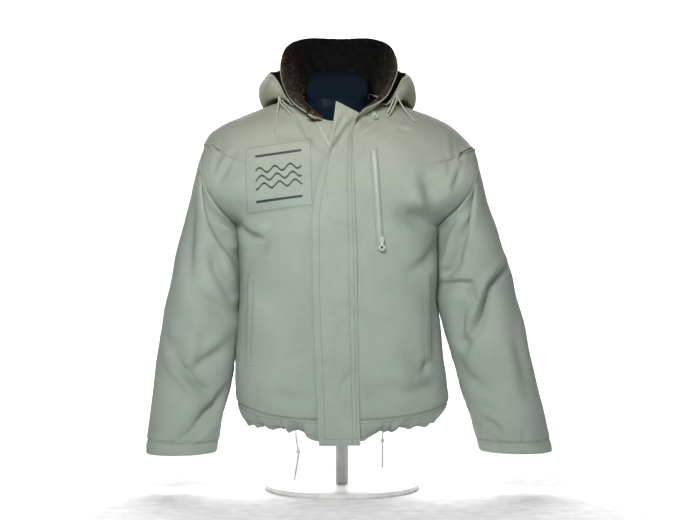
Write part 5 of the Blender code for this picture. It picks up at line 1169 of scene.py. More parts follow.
def rest_on(tree, points, clear):
    """Raise points that would sink into the cloth under them."""
    for point, gap in zip(points.reshape(-1, 3), clear.reshape(-1)):
        below, _, _, _ = tree.ray_cast(Vector((point[0], point[1], 1.0)), Vector((0.0, 0.0, -1.0)))
        if below is not None:
            point[2] = max(point[2], below.z + gap)


HOOD_SLACK = 2.2 * MM
HOOD_SLACK_SIZE = 0.075
HOOD_DRAWN = 1.6 * MM         # ripples where the cord draws the rim up
HOOD_DRAWN_REACH = 0.25       # as a share of the way up the hood
HOOD_WAVES = 74.0             # radians of ripple along the rim
HOOD_HEM = 0.9 * MM           # the rim's hem stands out this far over its cord
HOOD_HEM_PLACE = 0.955
HOOD_HEM_SPREAD = 0.028


def make_hood(cloth, lining, tree):
    """The hood, folded down behind the collar. Returns its outside and the way out of it."""
    points, normals = hood_surface(tree)
    share = np.linspace(0.0, 1.0, len(points))[:, None]
    turn = np.linspace(0.0, 1.0, points.shape[1])[None, :]
    away = np.sin(math.pi * np.clip(share, 0.0, 1.0)) ** 0.5
    slack = HOOD_SLACK * away * soft_noise(points, HOOD_SLACK_SIZE, 41)
    waves = np.sin(turn * HOOD_WAVES + 2.0 * np.sin(turn * 17.0))
    drawn = HOOD_DRAWN * np.exp(-((share - 1.0) / HOOD_DRAWN_REACH) ** 2) * waves
    drawn = drawn * np.clip(share * 4.0, 0.0, 1.0)
    hem = HOOD_HEM * np.exp(-((share - HOOD_HEM_PLACE) / HOOD_HEM_SPREAD) ** 2)
    outer = points + (slack + drawn + hem)[..., None] * normals
    inner = points + (slack + drawn - hem * 0.5)[..., None] * normals - SHELL_WALL * normals
    item = dress(shell("look_hood", outer, inner, (cloth, lining)), "shell", "hood")
    return outer, normals


def guide_tree(grids):
    """A ray-cast tree over the outer faces of some cloth."""
    points = []
    faces = []
    for grid in grids:
        rows, columns = grid.shape[:2]
        faces.extend(grid_faces(rows, columns, len(points), False).tolist())
        points.extend(Vector(point) for point in grid.reshape(-1, 3))
    return BVHTree.FromPolygons(points, faces)


def on_front(tree, x, z):
    """Point and outward normal of the front, straight ahead of a place given as x and z."""
    point, normal, _, _ = tree.ray_cast(Vector((x, -1.0, z)), Vector((0.0, 1.0, 0.0)))
    if normal.y > 0:
        normal = -normal
    return np.array(point), np.array(normal)


def quad_place(quad, u, w):
    """x and z of a place on a four-sided piece."""
    low_x = quad.x0 + (quad.x1 - quad.x0) * u
    high_x = quad.x3 + (quad.x2 - quad.x3) * u
    low_z = quad.z0 + (quad.z1 - quad.z0) * u
    high_z = quad.z3 + (quad.z2 - quad.z3) * u
    return low_x + (high_x - low_x) * w, low_z + (high_z - low_z) * w


def laid_grid(quad, rows, columns, tree):
    points = np.empty((rows + 1, columns + 1, 3))
    normals = np.empty((rows + 1, columns + 1, 3))
    for row in range(rows + 1):
        for column in range(columns + 1):
            x, z = quad_place(quad, column / columns, row / rows)
            points[row, column], normals[row, column] = on_front(tree, x, z)
    for _ in range(2):
        normals[1:-1] = (normals[:-2] + normals[1:-1] * 2 + normals[2:]) / 4
        normals[:, 1:-1] = (normals[:, :-2] + normals[:, 1:-1] * 2 + normals[:, 2:]) / 4
    return points, normals / np.linalg.norm(normals, axis=-1, keepdims=True)


def edge_profile(rows, columns, width_rows, width_columns):
    """1 inside a piece, falling to 0 at its edges, on a grid."""
    u = np.linspace(0.0, 1.0, columns + 1)[None, :]
    w = np.linspace(0.0, 1.0, rows + 1)[:, None]
    near_u = np.minimum(u, 1 - u) / width_columns
    near_w = np.minimum(w, 1 - w) / width_rows
    return 1.0 - np.exp(-np.minimum(near_u, near_w) ** 2 * 4.0)


def make_laid(name, quad, rows, columns, lift, thickness, crown, tree, material, slot, nodes=()):
    """A trim piece that follows the panel under it, its face crowned between its edges."""
    points, normals = laid_grid(quad, rows, columns, tree)
    width = math.hypot(quad.x1 - quad.x0, quad.z1 - quad.z0)
    height = math.hypot(quad.x3 - quad.x0, quad.z3 - quad.z0)
    edge = 3.5 * MM
    swell = crown * edge_profile(rows, columns, edge / height, min(edge / width, 0.45))
    outer = points + (lift + thickness + swell)[..., None] * normals
    item = shell(name, outer, points + lift * normals, (material,))
    return dress(item, slot, *nodes), outer, normals


FLAP_STEPS = 150
FLAP_COLUMNS = 28
FLAP_GUIDE_FOOT = 0.160
FLAP_BULGE = 1.6 * MM
FlapCrease = namedtuple("FlapCrease", "width depth ridge route")
FLAP_CREASES = (
    FlapCrease(0.0055, 0.0030, 0.6, ((0.0195, 0.7010), (0.0060, 0.6860), (-0.0060, 0.6640),
                                     (-0.0230, 0.6400))),
    FlapCrease(0.0050, 0.0022, 0.5, ((0.0040, 0.7120), (-0.0030, 0.6960), (-0.0130, 0.6760))),
    FlapCrease(0.0060, 0.0013, 0.4, ((0.0170, 0.2320), (0.0080, 0.2220), (-0.0040, 0.2020))),
    FlapCrease(0.0080, 0.0012, -0.4, ((-0.0280, 0.5200), (-0.0120, 0.5080), (0.0120, 0.5030))),
    FlapCrease(0.0080, 0.0010, 0.4, ((-0.0300, 0.3600), (-0.0120, 0.3520), (0.0150, 0.3560))),
)


def front_reach(tree, x, z):
    """How far forward the front lies, carried on straight above the neckline."""
    top = float(smooth_column(CENTRE_LINES, "front_z", NECKLINE)) - 0.006
    point, _ = on_front(tree, x, min(z, top))
    return point[1] - 0.30 * max(0.0, z - top)


def flap_grid(tree):
    heights = np.linspace(STORM_FLAP[0].z, STORM_FLAP[-1].z, FLAP_STEPS + 1)
    outer = np.empty((FLAP_STEPS + 1, FLAP_COLUMNS + 1, 3))
    for row, z in enumerate(heights):
        free_x = smooth_column(STORM_FLAP, "free_x", z)
        seam_x = smooth_column(STORM_FLAP, "seam_x", z)
        lift = smooth_column(STORM_FLAP, "lift", z)
        raised = max(0.0, (z - 0.64) / (heights[-1] - 0.64)) ** 2 * FLAP_TIP_RISE
        for column in range(FLAP_COLUMNS + 1):
            u = column / FLAP_COLUMNS
            x = free_x + (seam_x - free_x) * u
            proud = SHELL_WALL + 1.6 * MM + lift * (1 - u) ** 0.8
            reach = front_reach(tree, x, max(z, FLAP_GUIDE_FOOT))
            outer[row, column] = (x, reach - proud, z + raised * (1 - u))
    smooth = outer[..., 1].copy()
    for _ in range(6):
        smooth[1:-1] = (smooth[:-2] + 2 * smooth[1:-1] + smooth[2:]) / 4
        smooth[:, 1:-1] = (smooth[:, :-2] + 2 * smooth[:, 1:-1] + smooth[:, 2:]) / 4
    outer[..., 1] = np.minimum(smooth, outer[..., 1] + 0.6 * MM)
    return outer


def make_flap(cloth, piping, tree):
    """The storm flap over the zip, with a piped free edge. Returns its outer points."""
    outer = flap_grid(tree)
    u = np.linspace(0.0, 1.0, FLAP_COLUMNS + 1)[None, :]
    forward = np.zeros(outer.shape[:2])
    creases = [Crease(FRONT, item.width, item.depth, item.ridge, item.route)
               for item in FLAP_CREASES]
    forward += crease_height(outer, -np.ones(outer.shape[:2]), creases)
    forward += FLAP_BULGE * np.sin(math.pi * u) ** 0.7
    for stitched, width in ((0.13, 0.030), (0.83, 0.030), (0.93, 0.030)):
        forward -= 0.7 * MM * np.exp(-((u - stitched) / width) ** 2)
    forward += 0.8 * MM * soft_noise(outer, 0.11, 51) + 0.35 * MM * soft_noise(outer, 0.03, 52)
    outer[..., 1] -= forward
    inner = outer + np.array((0.0, SHELL_WALL, 0.0))
    item = dress(shell("look_storm_flap", outer, inner, (cloth,)), "shell", "storm_flap")
    edge = outer[:, 0] + np.array((-0.1 * MM, 0.8 * MM, 0.0))
    tube("flap_piping", edge, 1.25 * MM, piping, "shell")
    return outer


def tube(name, route, radius, material, slot, sides=10, body="jacket"):
    """A round strand along a route, closed at both ends."""
    route = np.asarray(route, float)
    ahead = np.gradient(route, axis=0)
    ahead = ahead / np.linalg.norm(ahead, axis=-1, keepdims=True)
    start = np.cross(ahead[0], (0.31, 0.42, 0.85))
    rights = [start / np.linalg.norm(start)]
    for way in ahead[1:]:
        right = rights[-1] - way * (rights[-1] @ way)
        rights.append(right / np.linalg.norm(right))
    rights = np.array(rights)
    ups = np.cross(ahead, rights)
    turns = np.linspace(0.0, 2 * math.pi, sides, endpoint=False)
    ring = (rights[:, None] * np.cos(turns)[None, :, None]
            + ups[:, None] * np.sin(turns)[None, :, None]) * radius
    points = (route[:, None] + ring).reshape(-1, 3)
    quads = grid_faces(len(route), sides, 0, True).tolist()
    last = (len(route) - 1) * sides
    caps = [list(range(sides))[::-1], [last + index for index in range(sides)]]
    mesh = bpy.data.meshes.new(name)
    mesh.from_pydata(points.tolist(), [], quads + caps)
    mesh.materials.append(material)
    mesh.shade_smooth()
    mesh.set_sharp_from_angle(angle=math.radians(60.0))
    item = bpy.data.objects.new(name, mesh)
    bpy.context.scene.collection.objects.link(item)
    return dress(item, slot, body=body)


def smooth_route(points, per_span):
    """Points along a smooth curve through a route's own points."""
    route = np.array(points)
    knots = np.arange(len(route), dtype=float)
    fine = np.linspace(0.0, knots[-1], (len(route) - 1) * per_span + 1)
    return np.stack([smooth_values(knots, route[:, axis], fine) for axis in range(3)], axis=-1)


def make_cords(material):
    """Drawcord ends at the hood and the hem, with their knots."""
    for side in ("right", "left"):
        for kind in ("cord", "bow"):
            name = "hood_" + kind + "_" + side
            route = smooth_route(CORD_ROUTES[name], 6)
            item = tube("look_" + name, route, CORD_DIAMETER / 2, material, "cord")
            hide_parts(name)
        make_knot("look_hood_knot_" + side, HOOD_KNOTS[side], material, "hood_knot_" + side)
        upper = "hem_cord_" + side + "_upper"
        lower = "hem_cord_" + side + "_lower"
        route = smooth_route(CORD_ROUTES[upper] + CORD_ROUTES[lower], 6)
        item = tube("look_hem_cord_" + side, route, CORD_DIAMETER / 2, material, "cord")
        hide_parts(upper, lower)


KNOT_TURNS = 3


def make_knot(name, centre, material, node):
    """A small overhand knot: the cord wound round itself."""
    steps = np.linspace(0.0, 2 * math.pi, 90)
    spread = KNOT_DIAMETER / 2 - CORD_DIAMETER / 2
    wound = spread * (0.75 + 0.25 * np.cos(KNOT_TURNS * steps))
    route = np.stack((wound * np.cos(2 * steps), spread * 0.65 * np.sin(KNOT_TURNS * steps),
                      wound * np.sin(2 * steps)), axis=-1)
    route = route + np.array(centre)
    item = tube(name, route[:-1], CORD_DIAMETER / 2 * 0.92, material, "cord", sides=9)
    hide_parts(node)


def stitch_boxes(name, places, material, size, slot="shell"):
    """Many small rounded stitches; each place is a point, its run and the way out of the cloth."""
    points = []
    faces = []
    length, width, height = size
    shape = np.array([(-0.5, -0.35, 0.0), (0.5, -0.35, 0.0), (0.5, 0.35, 0.0), (-0.5, 0.35, 0.0),
                      (-0.25, -0.2, 1.0), (0.25, -0.2, 1.0), (0.25, 0.2, 1.0), (-0.25, 0.2, 1.0)])
    sides = ((4, 5, 6, 7), (0, 1, 5, 4), (1, 2, 6, 5), (2, 3, 7, 6), (3, 0, 4, 7))
    for point, run, out in places:
        across = np.cross(out, run)
        corners = (point + shape[:, :1] * run * length + shape[:, 1:2] * across * width * 1.4
                   + shape[:, 2:] * out * height)
        faces.extend([tuple(len(points) + index for index in side) for side in sides])
        points.extend(corners)
    item = link_mesh(name, np.array(points), np.array(faces), (material,), sharp=70.0)
    return dress(item, slot)


STITCH = (2.5 * MM, 0.80 * MM, 0.40 * MM)
STITCH_PITCH = 3.2 * MM


def stitch_places(route, normals, pitch=STITCH_PITCH, sink=0.12 * MM):
    """Evenly spaced stitches along a route with a normal at each of its points."""
    lengths = np.concatenate(([0.0], np.cumsum(np.linalg.norm(np.diff(route, axis=0), axis=1))))
    marks = np.arange(pitch, lengths[-1] - pitch / 2, pitch)
    spots = np.stack([np.interp(marks, lengths, route[:, axis]) for axis in range(3)], axis=-1)
    outs = np.stack([np.interp(marks, lengths, normals[:, axis]) for axis in range(3)], axis=-1)
    ahead = np.stack([np.interp(marks + 0.4 * pitch, lengths, route[:, axis]) for axis in range(3)],
                     axis=-1) - spots
    places = []
    for spot, out, run in zip(spots, outs, ahead):
        out = out / np.linalg.norm(out)
        run = run - out * (run @ out)
        places.append((spot - out * sink, run / max(np.linalg.norm(run), 1e-9), out))
    return places


def torso_line(side, face, v, c):
    """A line over the body's cloth, given as steps v and c, with its normals."""
    v, c = np.broadcast_arrays(np.asarray(v, float), np.asarray(c, float))
    outer, _, normal = Torso(side, face).grid(v, c)
    return outer, normal


def sleeve_line(side, s, turn):
    s, turn = np.broadcast_arrays(np.asarray(s, float), np.asarray(turn, float))
    outer, _, normal = Sleeve(side).grid(s, turn)
    return outer, normal


# Lines over the cloth: from and to in each of its two parameters, and the points along it.
SeamLine = namedtuple("SeamLine", "low high start end points")
HEM_AND_ARMHOLE_LINES = (
    SeamLine(0.016, 0.016, 0.05, 0.995, 240),
    SeamLine(-0.020, -0.020, 0.05, 0.995, 240),
    SeamLine(1.02, 1.98, 1.0 - 0.034, 1.0 - 0.034, 130),
    SeamLine(-0.118, -0.118, 0.05, 0.995, 240),
)
YOKE_AND_SIDE_LINES = (
    SeamLine(2.03, 2.97, 0.985, 0.985, 90),
    SeamLine(0.03, 0.98, 0.988, 0.988, 170),
)
SLEEVE_LINES = (
    SeamLine(CUFF_SEAM - 0.006, CUFF_SEAM - 0.006, 0.02, 2 * math.pi - 0.02, 240),
    SeamLine(0.03, CUFF_SEAM - 0.02, math.pi + 0.075, math.pi + 0.075, 220),
)


def line_marks(line):
    """The two parameters of each point along a line."""
    return (np.linspace(line.low, line.high, line.points),
            np.linspace(line.start, line.end, line.points))


def make_stitches(thread):
    """Rows of lockstitch beside the seams of the body and the sleeves."""
    places = []
    for side in (RIGHT, LEFT):
        for face in (FRONT, BACK):
            for line in HEM_AND_ARMHOLE_LINES:
                places += stitch_places(*torso_line(side, face, *line_marks(line)))
        for line in YOKE_AND_SIDE_LINES:
            places += stitch_places(*torso_line(side, BACK, *line_marks(line)))
        for line in SLEEVE_LINES:
            places += stitch_places(*sleeve_line(side, *line_marks(line)))
    stitch_boxes("seam_stitches", places, thread, STITCH)


def make_trim_stitches(thread, flap, hood, hood_normals, laid):
    """Stitches on the flap, the hood's rim, the patch, the welts and the pockets."""
    places = []
    ahead = np.tile(np.array((0.0, -1.0, 0.0)), (len(flap), 1))
    for column in (4, 23, 26):
        places += stitch_places(flap[:, column], ahead)
    places += stitch_places(flap[3, 2:-1], ahead[:FLAP_COLUMNS - 2])
    rim = int(round(0.92 * HOOD_PROFILE_STEPS))
    places += stitch_places(hood[rim], hood_normals[rim])
    for outer, normals, inset_rows, inset_columns in laid:
        row = inset_rows
        column = inset_columns
        for line, out in ((outer[row, column:-column or None],
                           normals[row, column:-column or None]),
                          (outer[-1 - row, column:-column or None],
                           normals[-1 - row, column:-column or None]),
                          (outer[row:-row or None, column], normals[row:-row or None, column]),
                          (outer[row:-row or None, -1 - column],
                           normals[row:-row or None, -1 - column])):
            places += stitch_places(line, out, pitch=2.9 * MM)
    stitch_boxes("trim_stitches", places, thread, STITCH)


TOOTH_SHARE = 0.42            # a tooth's share of the pitch
TOOTH_HEIGHT = 0.8 * MM


def make_teeth(name, quad, tree, lift, metal, sizes):
    """A zip's teeth along the middle of a strip laid on the cloth."""
    pitch, width = sizes
    points, normals = laid_grid(quad, 40, 4, tree)
    outer = points + lift * normals
    places = []
    line = outer[:, 2]
    out = normals[:, 2]
    lengths = np.concatenate(([0.0], np.cumsum(np.linalg.norm(np.diff(line, axis=0), axis=1))))
    for mark in np.arange(pitch, lengths[-1] - pitch, pitch):
        spot = np.array([np.interp(mark, lengths, line[:, axis]) for axis in range(3)])
        way = np.array([np.interp(mark, lengths, out[:, axis]) for axis in range(3)])
        way = way / np.linalg.norm(way)
        ahead = np.array([np.interp(mark + pitch, lengths, line[:, axis]) for axis in range(3)])
        run = ahead - spot
        run = run - way * (run @ way)
        across = np.cross(way, run / np.linalg.norm(run))
        places.append((spot, across, way))
    size = (width, pitch * TOOTH_SHARE, TOOTH_HEIGHT)
    stitch_boxes(name + "_teeth", places, metal, size, "metal")


# The print on the patch: three wavy lines between two plain bars, as places u, w on the patch.
PRINT_BARS = ((0.16, 0.82, 0.84, 0.855), (0.16, 0.145, 0.84, 0.18))
PRINT_WAVES = (0.38, 0.50, 0.62)
PRINT_WAVE_HEIGHT = 0.040
PRINT_WAVE_WIDTH = 0.030
PRINT_HEIGHT = 0.35 * MM


def make_print(outer, normals, ink):
    """A generic mark on the patch, as thin raised ink."""
    rows, columns = outer.shape[0] - 1, outer.shape[1] - 1

    def spot(u, w):
        row = min(int(w * rows), rows - 1)
        column = min(int(u * columns), columns - 1)
        a = w * rows - row
        b = u * columns - column
        low = outer[row, column] * (1 - b) + outer[row, column + 1] * b
        high = outer[row + 1, column] * (1 - b) + outer[row + 1, column + 1] * b
        return low * (1 - a) + high * a, normals[row, column]

    def ribbon(name, lower, upper):
        top = np.empty((2, len(lower), 3))
        base = np.empty((2, len(lower), 3))
        for edge, line in enumerate((lower, upper)):
            for index, (u, w) in enumerate(line):
                point, out = spot(u, w)
                top[edge, index] = point + out * PRINT_HEIGHT
                base[edge, index] = point - out * 0.2 * MM
        dress(shell(name, top, base, (ink,)), "shell")

    for number, (u0, w0, u1, w1) in enumerate(PRINT_BARS):
        steps = np.linspace(u0, u1, 40)
        ribbon("print_bar_" + str(number), [(u, w0) for u in steps], [(u, w1) for u in steps])
    for number, middle in enumerate(PRINT_WAVES):
        steps = np.linspace(0.16, 0.84, 90)
        swing = PRINT_WAVE_HEIGHT * np.sin(steps * 2 * math.pi * 3.0 / 0.68 + number * 0.9)
        lower = [(u, middle + rise - PRINT_WAVE_WIDTH / 2) for u, rise in zip(steps, swing)]
        upper = [(u, middle + rise + PRINT_WAVE_WIDTH / 2) for u, rise in zip(steps, swing)]
        ribbon("print_wave_" + str(number), lower, upper)


TRIM_LIFT = 0.2 * MM          # patch and welts lie on the cloth
TRIM_CROWN = 1.2 * MM
PATCH_WALL = 0.6 * MM
PATCH_CROWN = 0.4 * MM
TAPE_CROWN = 0.2 * MM
CHEST_TAPE_LIFT = 3.0 * MM    # the tape lies in the chest welt's slit
UNDER_FLAP_LIFT = 1.6 * MM
UNDER_FLAP_CROWN = 0.8 * MM
ZIP_TOP_LIFT = 3.8 * MM
CHEST_TEETH = (2.1 * MM, 4.6 * MM)  # pitch and width
MAIN_TEETH = (2.4 * MM, 4.0 * MM)


def make_trims(materials, tree):
    """Chest patch, welts, pockets and the collar's zip ends."""
    cloth, trim, metal, ink = materials
    patch, patch_normals = make_laid("look_chest_patch", CHEST_PATCH, 44, 44, TRIM_LIFT,
                                     PATCH_WALL, PATCH_CROWN, tree, cloth, "shell",
                                     ("chest_patch",))[1:]
    make_print(patch, patch_normals, ink)
    laid = [(patch, patch_normals, 1, 1)]
    for name, quad in (("pocket_right", RIGHT_POCKET), ("pocket_left", LEFT_POCKET),
                       ("chest_welt", CHEST_WELT)):
        item = make_laid("look_" + name, quad, 60, 8, TRIM_LIFT, TRIM_WALL, TRIM_CROWN, tree,
                         cloth, "shell", (name,))
        laid.append((item[1], item[2], 2, 1))
    make_laid("look_chest_zip", CHEST_TAPE, 60, 4, CHEST_TAPE_LIFT, TRIM_WALL, TAPE_CROWN, tree,
              trim, "cord", ("chest_zip",))
    make_teeth("chest_zip", CHEST_TAPE, tree, CHEST_TAPE_LIFT + TRIM_WALL, metal, CHEST_TEETH)
    make_laid("look_under_flap", UNDER_FLAP, 30, 8, UNDER_FLAP_LIFT, TRIM_WALL,
              UNDER_FLAP_CROWN, tree, cloth, "shell", ("under_flap",))
    make_laid("look_main_zip_top", ZIP_TOP, 30, 4, ZIP_TOP_LIFT, TRIM_WALL, TAPE_CROWN, tree,
              trim, "cord", ("main_zip_top",))
    make_teeth("main_zip_top", ZIP_TOP, tree, ZIP_TOP_LIFT + TRIM_WALL, metal, MAIN_TEETH)
    return laid


FORM_COLUMNS = 96
FORM_ROWS = 130
FORM_SMOOTHING = 5
# The rounded rim of the cut neck: the share of the way to the middle, and the height.
FORM_RIM = ((0.0, -0.0060), (0.012, -0.0032), (0.036, -0.0008), (0.072, 0.0010), (0.120, 0.0021),
            (0.180, 0.0026), (0.5, 0.0028))


def form_rows():
    rows = list(FORM_TRUNK)
    for seat in FORM_SEATS:
        rests = []
        for side in (RIGHT, LEFT):
            edge = Torso(side, FRONT)
            v = np.array([seat.v])
            point = edge(v, np.ones(1))[0]
            normal = edge.normal(v, np.ones(1))[0]
            rests.append(point - (PADDED_WALL + FORM_CLEAR) * normal)
        rows.append(FormRow(seat.front_y, seat.front_z, seat.back_y, seat.back_z,
                            -rests[0][0], rests[0][2], rests[1][0], rests[1][2], rests[0][1],
                            FORM_TRUNK[-1].power))
    rows.extend(FORM_NECK)
    return rows


def form_ring(row):
    """Ring of points of the form through its front, back and two sides."""
    angle = np.linspace(0.0, 2 * math.pi, FORM_COLUMNS, endpoint=False)
    across = np.sin(angle)
    ahead = np.cos(angle)
    side_x = np.where(across > 0, row.left_x, -row.right_x)
    side_z = np.where(across > 0, row.left_z, row.right_z)
    far_y = np.where(ahead > 0, row.front_y, row.back_y)
    far_z = np.where(ahead > 0, row.front_z, row.back_z)
    centre = (row.left_x - row.right_x) / 2
    x = centre + (side_x - centre) * np.abs(across) ** row.power
    y = row.side_y + (far_y - row.side_y) * np.abs(ahead) ** row.power
    z = side_z + (far_z - side_z) * np.abs(ahead) ** row.power
    return np.stack((x, y, z), axis=-1)


def make_form(material):
    """The torso form: a smooth skin through the solid's own rings, eased at the neck's cut."""
    rings = np.array([form_ring(row) for row in form_rows()])
    knots = np.arange(len(rings), dtype=float)
    marks = np.linspace(0.0, knots[-1], FORM_ROWS)
    skin = np.empty((FORM_ROWS, FORM_COLUMNS, 3))
    for row, mark in enumerate(marks):
        low = min(int(mark), len(rings) - 2)
        share = mark - low
        skin[row] = rings[low] * (1 - share) + rings[low + 1] * share
    for _ in range(FORM_SMOOTHING):
        skin[1:-1] = (skin[:-2] + 2 * skin[1:-1] + skin[2:]) / 4
    top = skin[-1].copy()
    middle = top.mean(axis=0)
    eased = []
    for inward, lift in FORM_RIM:
        eased.append(top + (middle - top) * inward + np.array((0.0, 0.0, lift)))
    skin[-1] = eased[0]
    rows = np.concatenate((skin, np.array(eased)[1:]))
    points = np.concatenate((rows.reshape(-1, 3),
                             [middle + np.array((0.0, 0.0, FORM_RIM[-1][1]))],
                             [rows[0].mean(axis=0)]))
    faces = grid_faces(len(rows), FORM_COLUMNS, 0, True).tolist()
    last = (len(rows) - 1) * FORM_COLUMNS
    crown = len(points) - 2
    foot = len(points) - 1
    for index in range(FORM_COLUMNS):
        other = (index + 1) % FORM_COLUMNS
        faces.append((last + index, last + other, crown))
        faces.append((other, index, foot))
    mesh = bpy.data.meshes.new("look_form")
    mesh.from_pydata(points.tolist(), [], faces)
    mesh.materials.append(material)
    mesh.shade_smooth()
    mesh.set_sharp_from_angle(angle=math.radians(50.0))
    item = bpy.data.objects.new("look_form", mesh)
    bpy.context.scene.collection.objects.link(item)
    dress(item, "form", "torso_form")


def new_material(name):
    material = bpy.data.materials.new(name)
    material.use_nodes = True
    nodes = material.node_tree.nodes
    nodes.clear()
    output = nodes.new("ShaderNodeOutputMaterial")
    shader = nodes.new("ShaderNodeBsdfPrincipled")
    material.node_tree.links.new(shader.outputs["BSDF"], output.inputs["Surface"])
    return material, nodes, material.node_tree.links, shader


def noise_node(nodes, links, position, scale, detail, roughness=0.5):
    noise = nodes.new("ShaderNodeTexNoise")
    noise.inputs["Scale"].default_value = scale
    noise.inputs["Detail"].default_value = detail
    noise.inputs["Roughness"].default_value = roughness
    links.new(position, noise.inputs["Vector"])
    return noise.outputs["Fac"]


def ramp(nodes, links, value, stops):
    band = nodes.new("ShaderNodeValToRGB")
    while len(band.color_ramp.elements) < len(stops):
        band.color_ramp.elements.new(0.5)
    for element, (place, colour) in zip(band.color_ramp.elements, stops):
        element.position = place
        element.color = (*colour, 1.0)
    links.new(value, band.inputs["Fac"])
    return band.outputs["Color"]


def blend_colours(nodes, links, kind, share, first, second):
    mix = nodes.new("ShaderNodeMix")
    mix.data_type = "RGBA"
    mix.blend_type = kind
    if isinstance(share, float):
        mix.inputs["Factor"].default_value = share
    else:
        links.new(share, mix.inputs["Factor"])
    links.new(first, mix.inputs["A"])
    if isinstance(second, tuple):
        mix.inputs["B"].default_value = (*second, 1.0)
    else:
        links.new(second, mix.inputs["B"])
    return mix.outputs["Result"]


def cloth_material(name, base, dark, light, roughness, twill, painted_warm_light=None, sheen=0.06):
    """Woven cotton: a fine diagonal rib, uneven dye, a slightly rubbed look and, when a warm tint
    is given, painted warm light that yellows the cloth from z 0.56 up.
    """
    material, nodes, links, shader = new_material(name)
    position = nodes.new("ShaderNodeTexCoord").outputs["Object"]
    broad = noise_node(nodes, links, position, 11.0, 4.0, 0.6)
    colour = ramp(nodes, links, broad, ((0.30, dark), (0.52, base), (0.74, light)))
    # Painted warm light: above z 0.56 the colour blends towards the warm tint, as if a warm lamp
    # lit the upper body from above.
    if painted_warm_light is not None:
        split = nodes.new("ShaderNodeSeparateXYZ")
        links.new(position, split.inputs["Vector"])
        high = nodes.new("ShaderNodeMapRange")
        high.inputs["From Min"].default_value = 0.56
        high.inputs["From Max"].default_value = 0.78
        high.inputs["To Max"].default_value = 0.7
        links.new(split.outputs["Z"], high.inputs["Value"])
        colour = blend_colours(nodes, links, "MIX", high.outputs["Result"], colour, painted_warm_light)
    grain = noise_node(nodes, links, position, 900.0, 3.0)
    speck = ramp(nodes, links, grain, ((0.30, (0.86, 0.86, 0.86)), (0.70, (1.08, 1.08, 1.08))))
    colour = blend_colours(nodes, links, "MULTIPLY", 0.8, colour, speck)
    links.new(colour, shader.inputs["Base Color"])
    wave = nodes.new("ShaderNodeTexWave")
    wave.wave_type = "BANDS"
    wave.bands_direction = "DIAGONAL"
    wave.inputs["Scale"].default_value = twill
    wave.inputs["Distortion"].default_value = 0.6
    wave.inputs["Detail"].default_value = 1.0
    links.new(position, wave.inputs["Vector"])
    height = nodes.new("ShaderNodeMath")
    height.operation = "MULTIPLY_ADD"
    height.inputs[1].default_value = 0.5
    links.new(grain, height.inputs[0])
    links.new(wave.outputs["Fac"], height.inputs[2])
    bump = nodes.new("ShaderNodeBump")
    bump.inputs["Strength"].default_value = 0.35
    bump.inputs["Distance"].default_value = 0.00025
    links.new(height.outputs["Value"], bump.inputs["Height"])
    links.new(bump.outputs["Normal"], shader.inputs["Normal"])
    shader.inputs["Roughness"].default_value = roughness
    shader.inputs["Specular IOR Level"].default_value = 0.25
    shader.inputs["Sheen Weight"].default_value = sheen
    shader.inputs["Sheen Roughness"].default_value = 0.5
    return material


def pile_material():
    material, nodes, links, shader = new_material("brown_pile")
    position = nodes.new("ShaderNodeTexCoord").outputs["Object"]
    tufts = noise_node(nodes, links, position, 150.0, 6.0, 0.8)
    colour = ramp(nodes, links, tufts, ((0.36, (0.008, 0.006, 0.0045)),
                                        (0.52, (0.042, 0.031, 0.023)),
                                        (0.66, (0.155, 0.110, 0.078))))
    # Painted shade: from y 0.010 to 0.075, towards the back of the collar, the pile blends to near
    # black, as if in the collar's own shadow.
    split = nodes.new("ShaderNodeSeparateXYZ")
    links.new(position, split.inputs["Vector"])
    depth = nodes.new("ShaderNodeMapRange")
    depth.inputs["From Min"].default_value = 0.010
    depth.inputs["From Max"].default_value = 0.075
    depth.inputs["To Max"].default_value = 0.94
    links.new(split.outputs["Y"], depth.inputs["Value"])
    colour = blend_colours(nodes, links, "MIX", depth.outputs["Result"], colour,
                           (0.0018, 0.0026, 0.0026))
    links.new(colour, shader.inputs["Base Color"])
    shader.inputs["Roughness"].default_value = 0.85
    shader.inputs["Specular IOR Level"].default_value = 0.06
    return material


def smooth_material(name, colour, roughness, metallic=0.0, wear=0.06, shine=0.5):
    """Hard goods: an even colour with slight unevenness in its shine."""
    material, nodes, links, shader = new_material(name)
    position = nodes.new("ShaderNodeTexCoord").outputs["Object"]
    broad = noise_node(nodes, links, position, 35.0, 3.0)
    low = tuple(value * 0.9 for value in colour)
    high = tuple(min(value * 1.1, 1.0) for value in colour)
    links.new(ramp(nodes, links, broad, ((0.3, low), (0.7, high))), shader.inputs["Base Color"])
    spread = nodes.new("ShaderNodeMapRange")
    spread.inputs["To Min"].default_value = roughness
    spread.inputs["To Max"].default_value = roughness + wear
    links.new(broad, spread.inputs["Value"])
    links.new(spread.outputs["Result"], shader.inputs["Roughness"])
    shader.inputs["Metallic"].default_value = metallic
    shader.inputs["Specular IOR Level"].default_value = shine
    return material


def braid_material():
    """Round braided cord: crossing diagonal strands."""
    material, nodes, links, shader = new_material("cord_braid")
    position = nodes.new("ShaderNodeTexCoord").outputs["Object"]
    wave = nodes.new("ShaderNodeTexWave")
    wave.bands_direction = "Z"
    wave.inputs["Scale"].default_value = 260.0
    wave.inputs["Distortion"].default_value = 3.0
    links.new(position, wave.inputs["Vector"])
    stops = ((0.2, (0.29, 0.32, 0.25)), (0.8, (0.47, 0.50, 0.41)))
    colour = ramp(nodes, links, wave.outputs["Fac"], stops)
    links.new(colour, shader.inputs["Base Color"])
    bump = nodes.new("ShaderNodeBump")
    bump.inputs["Strength"].default_value = 0.5
    bump.inputs["Distance"].default_value = 0.0003
    links.new(wave.outputs["Fac"], bump.inputs["Height"])
    links.new(bump.outputs["Normal"], shader.inputs["Normal"])
    shader.inputs["Roughness"].default_value = 0.8
    return material


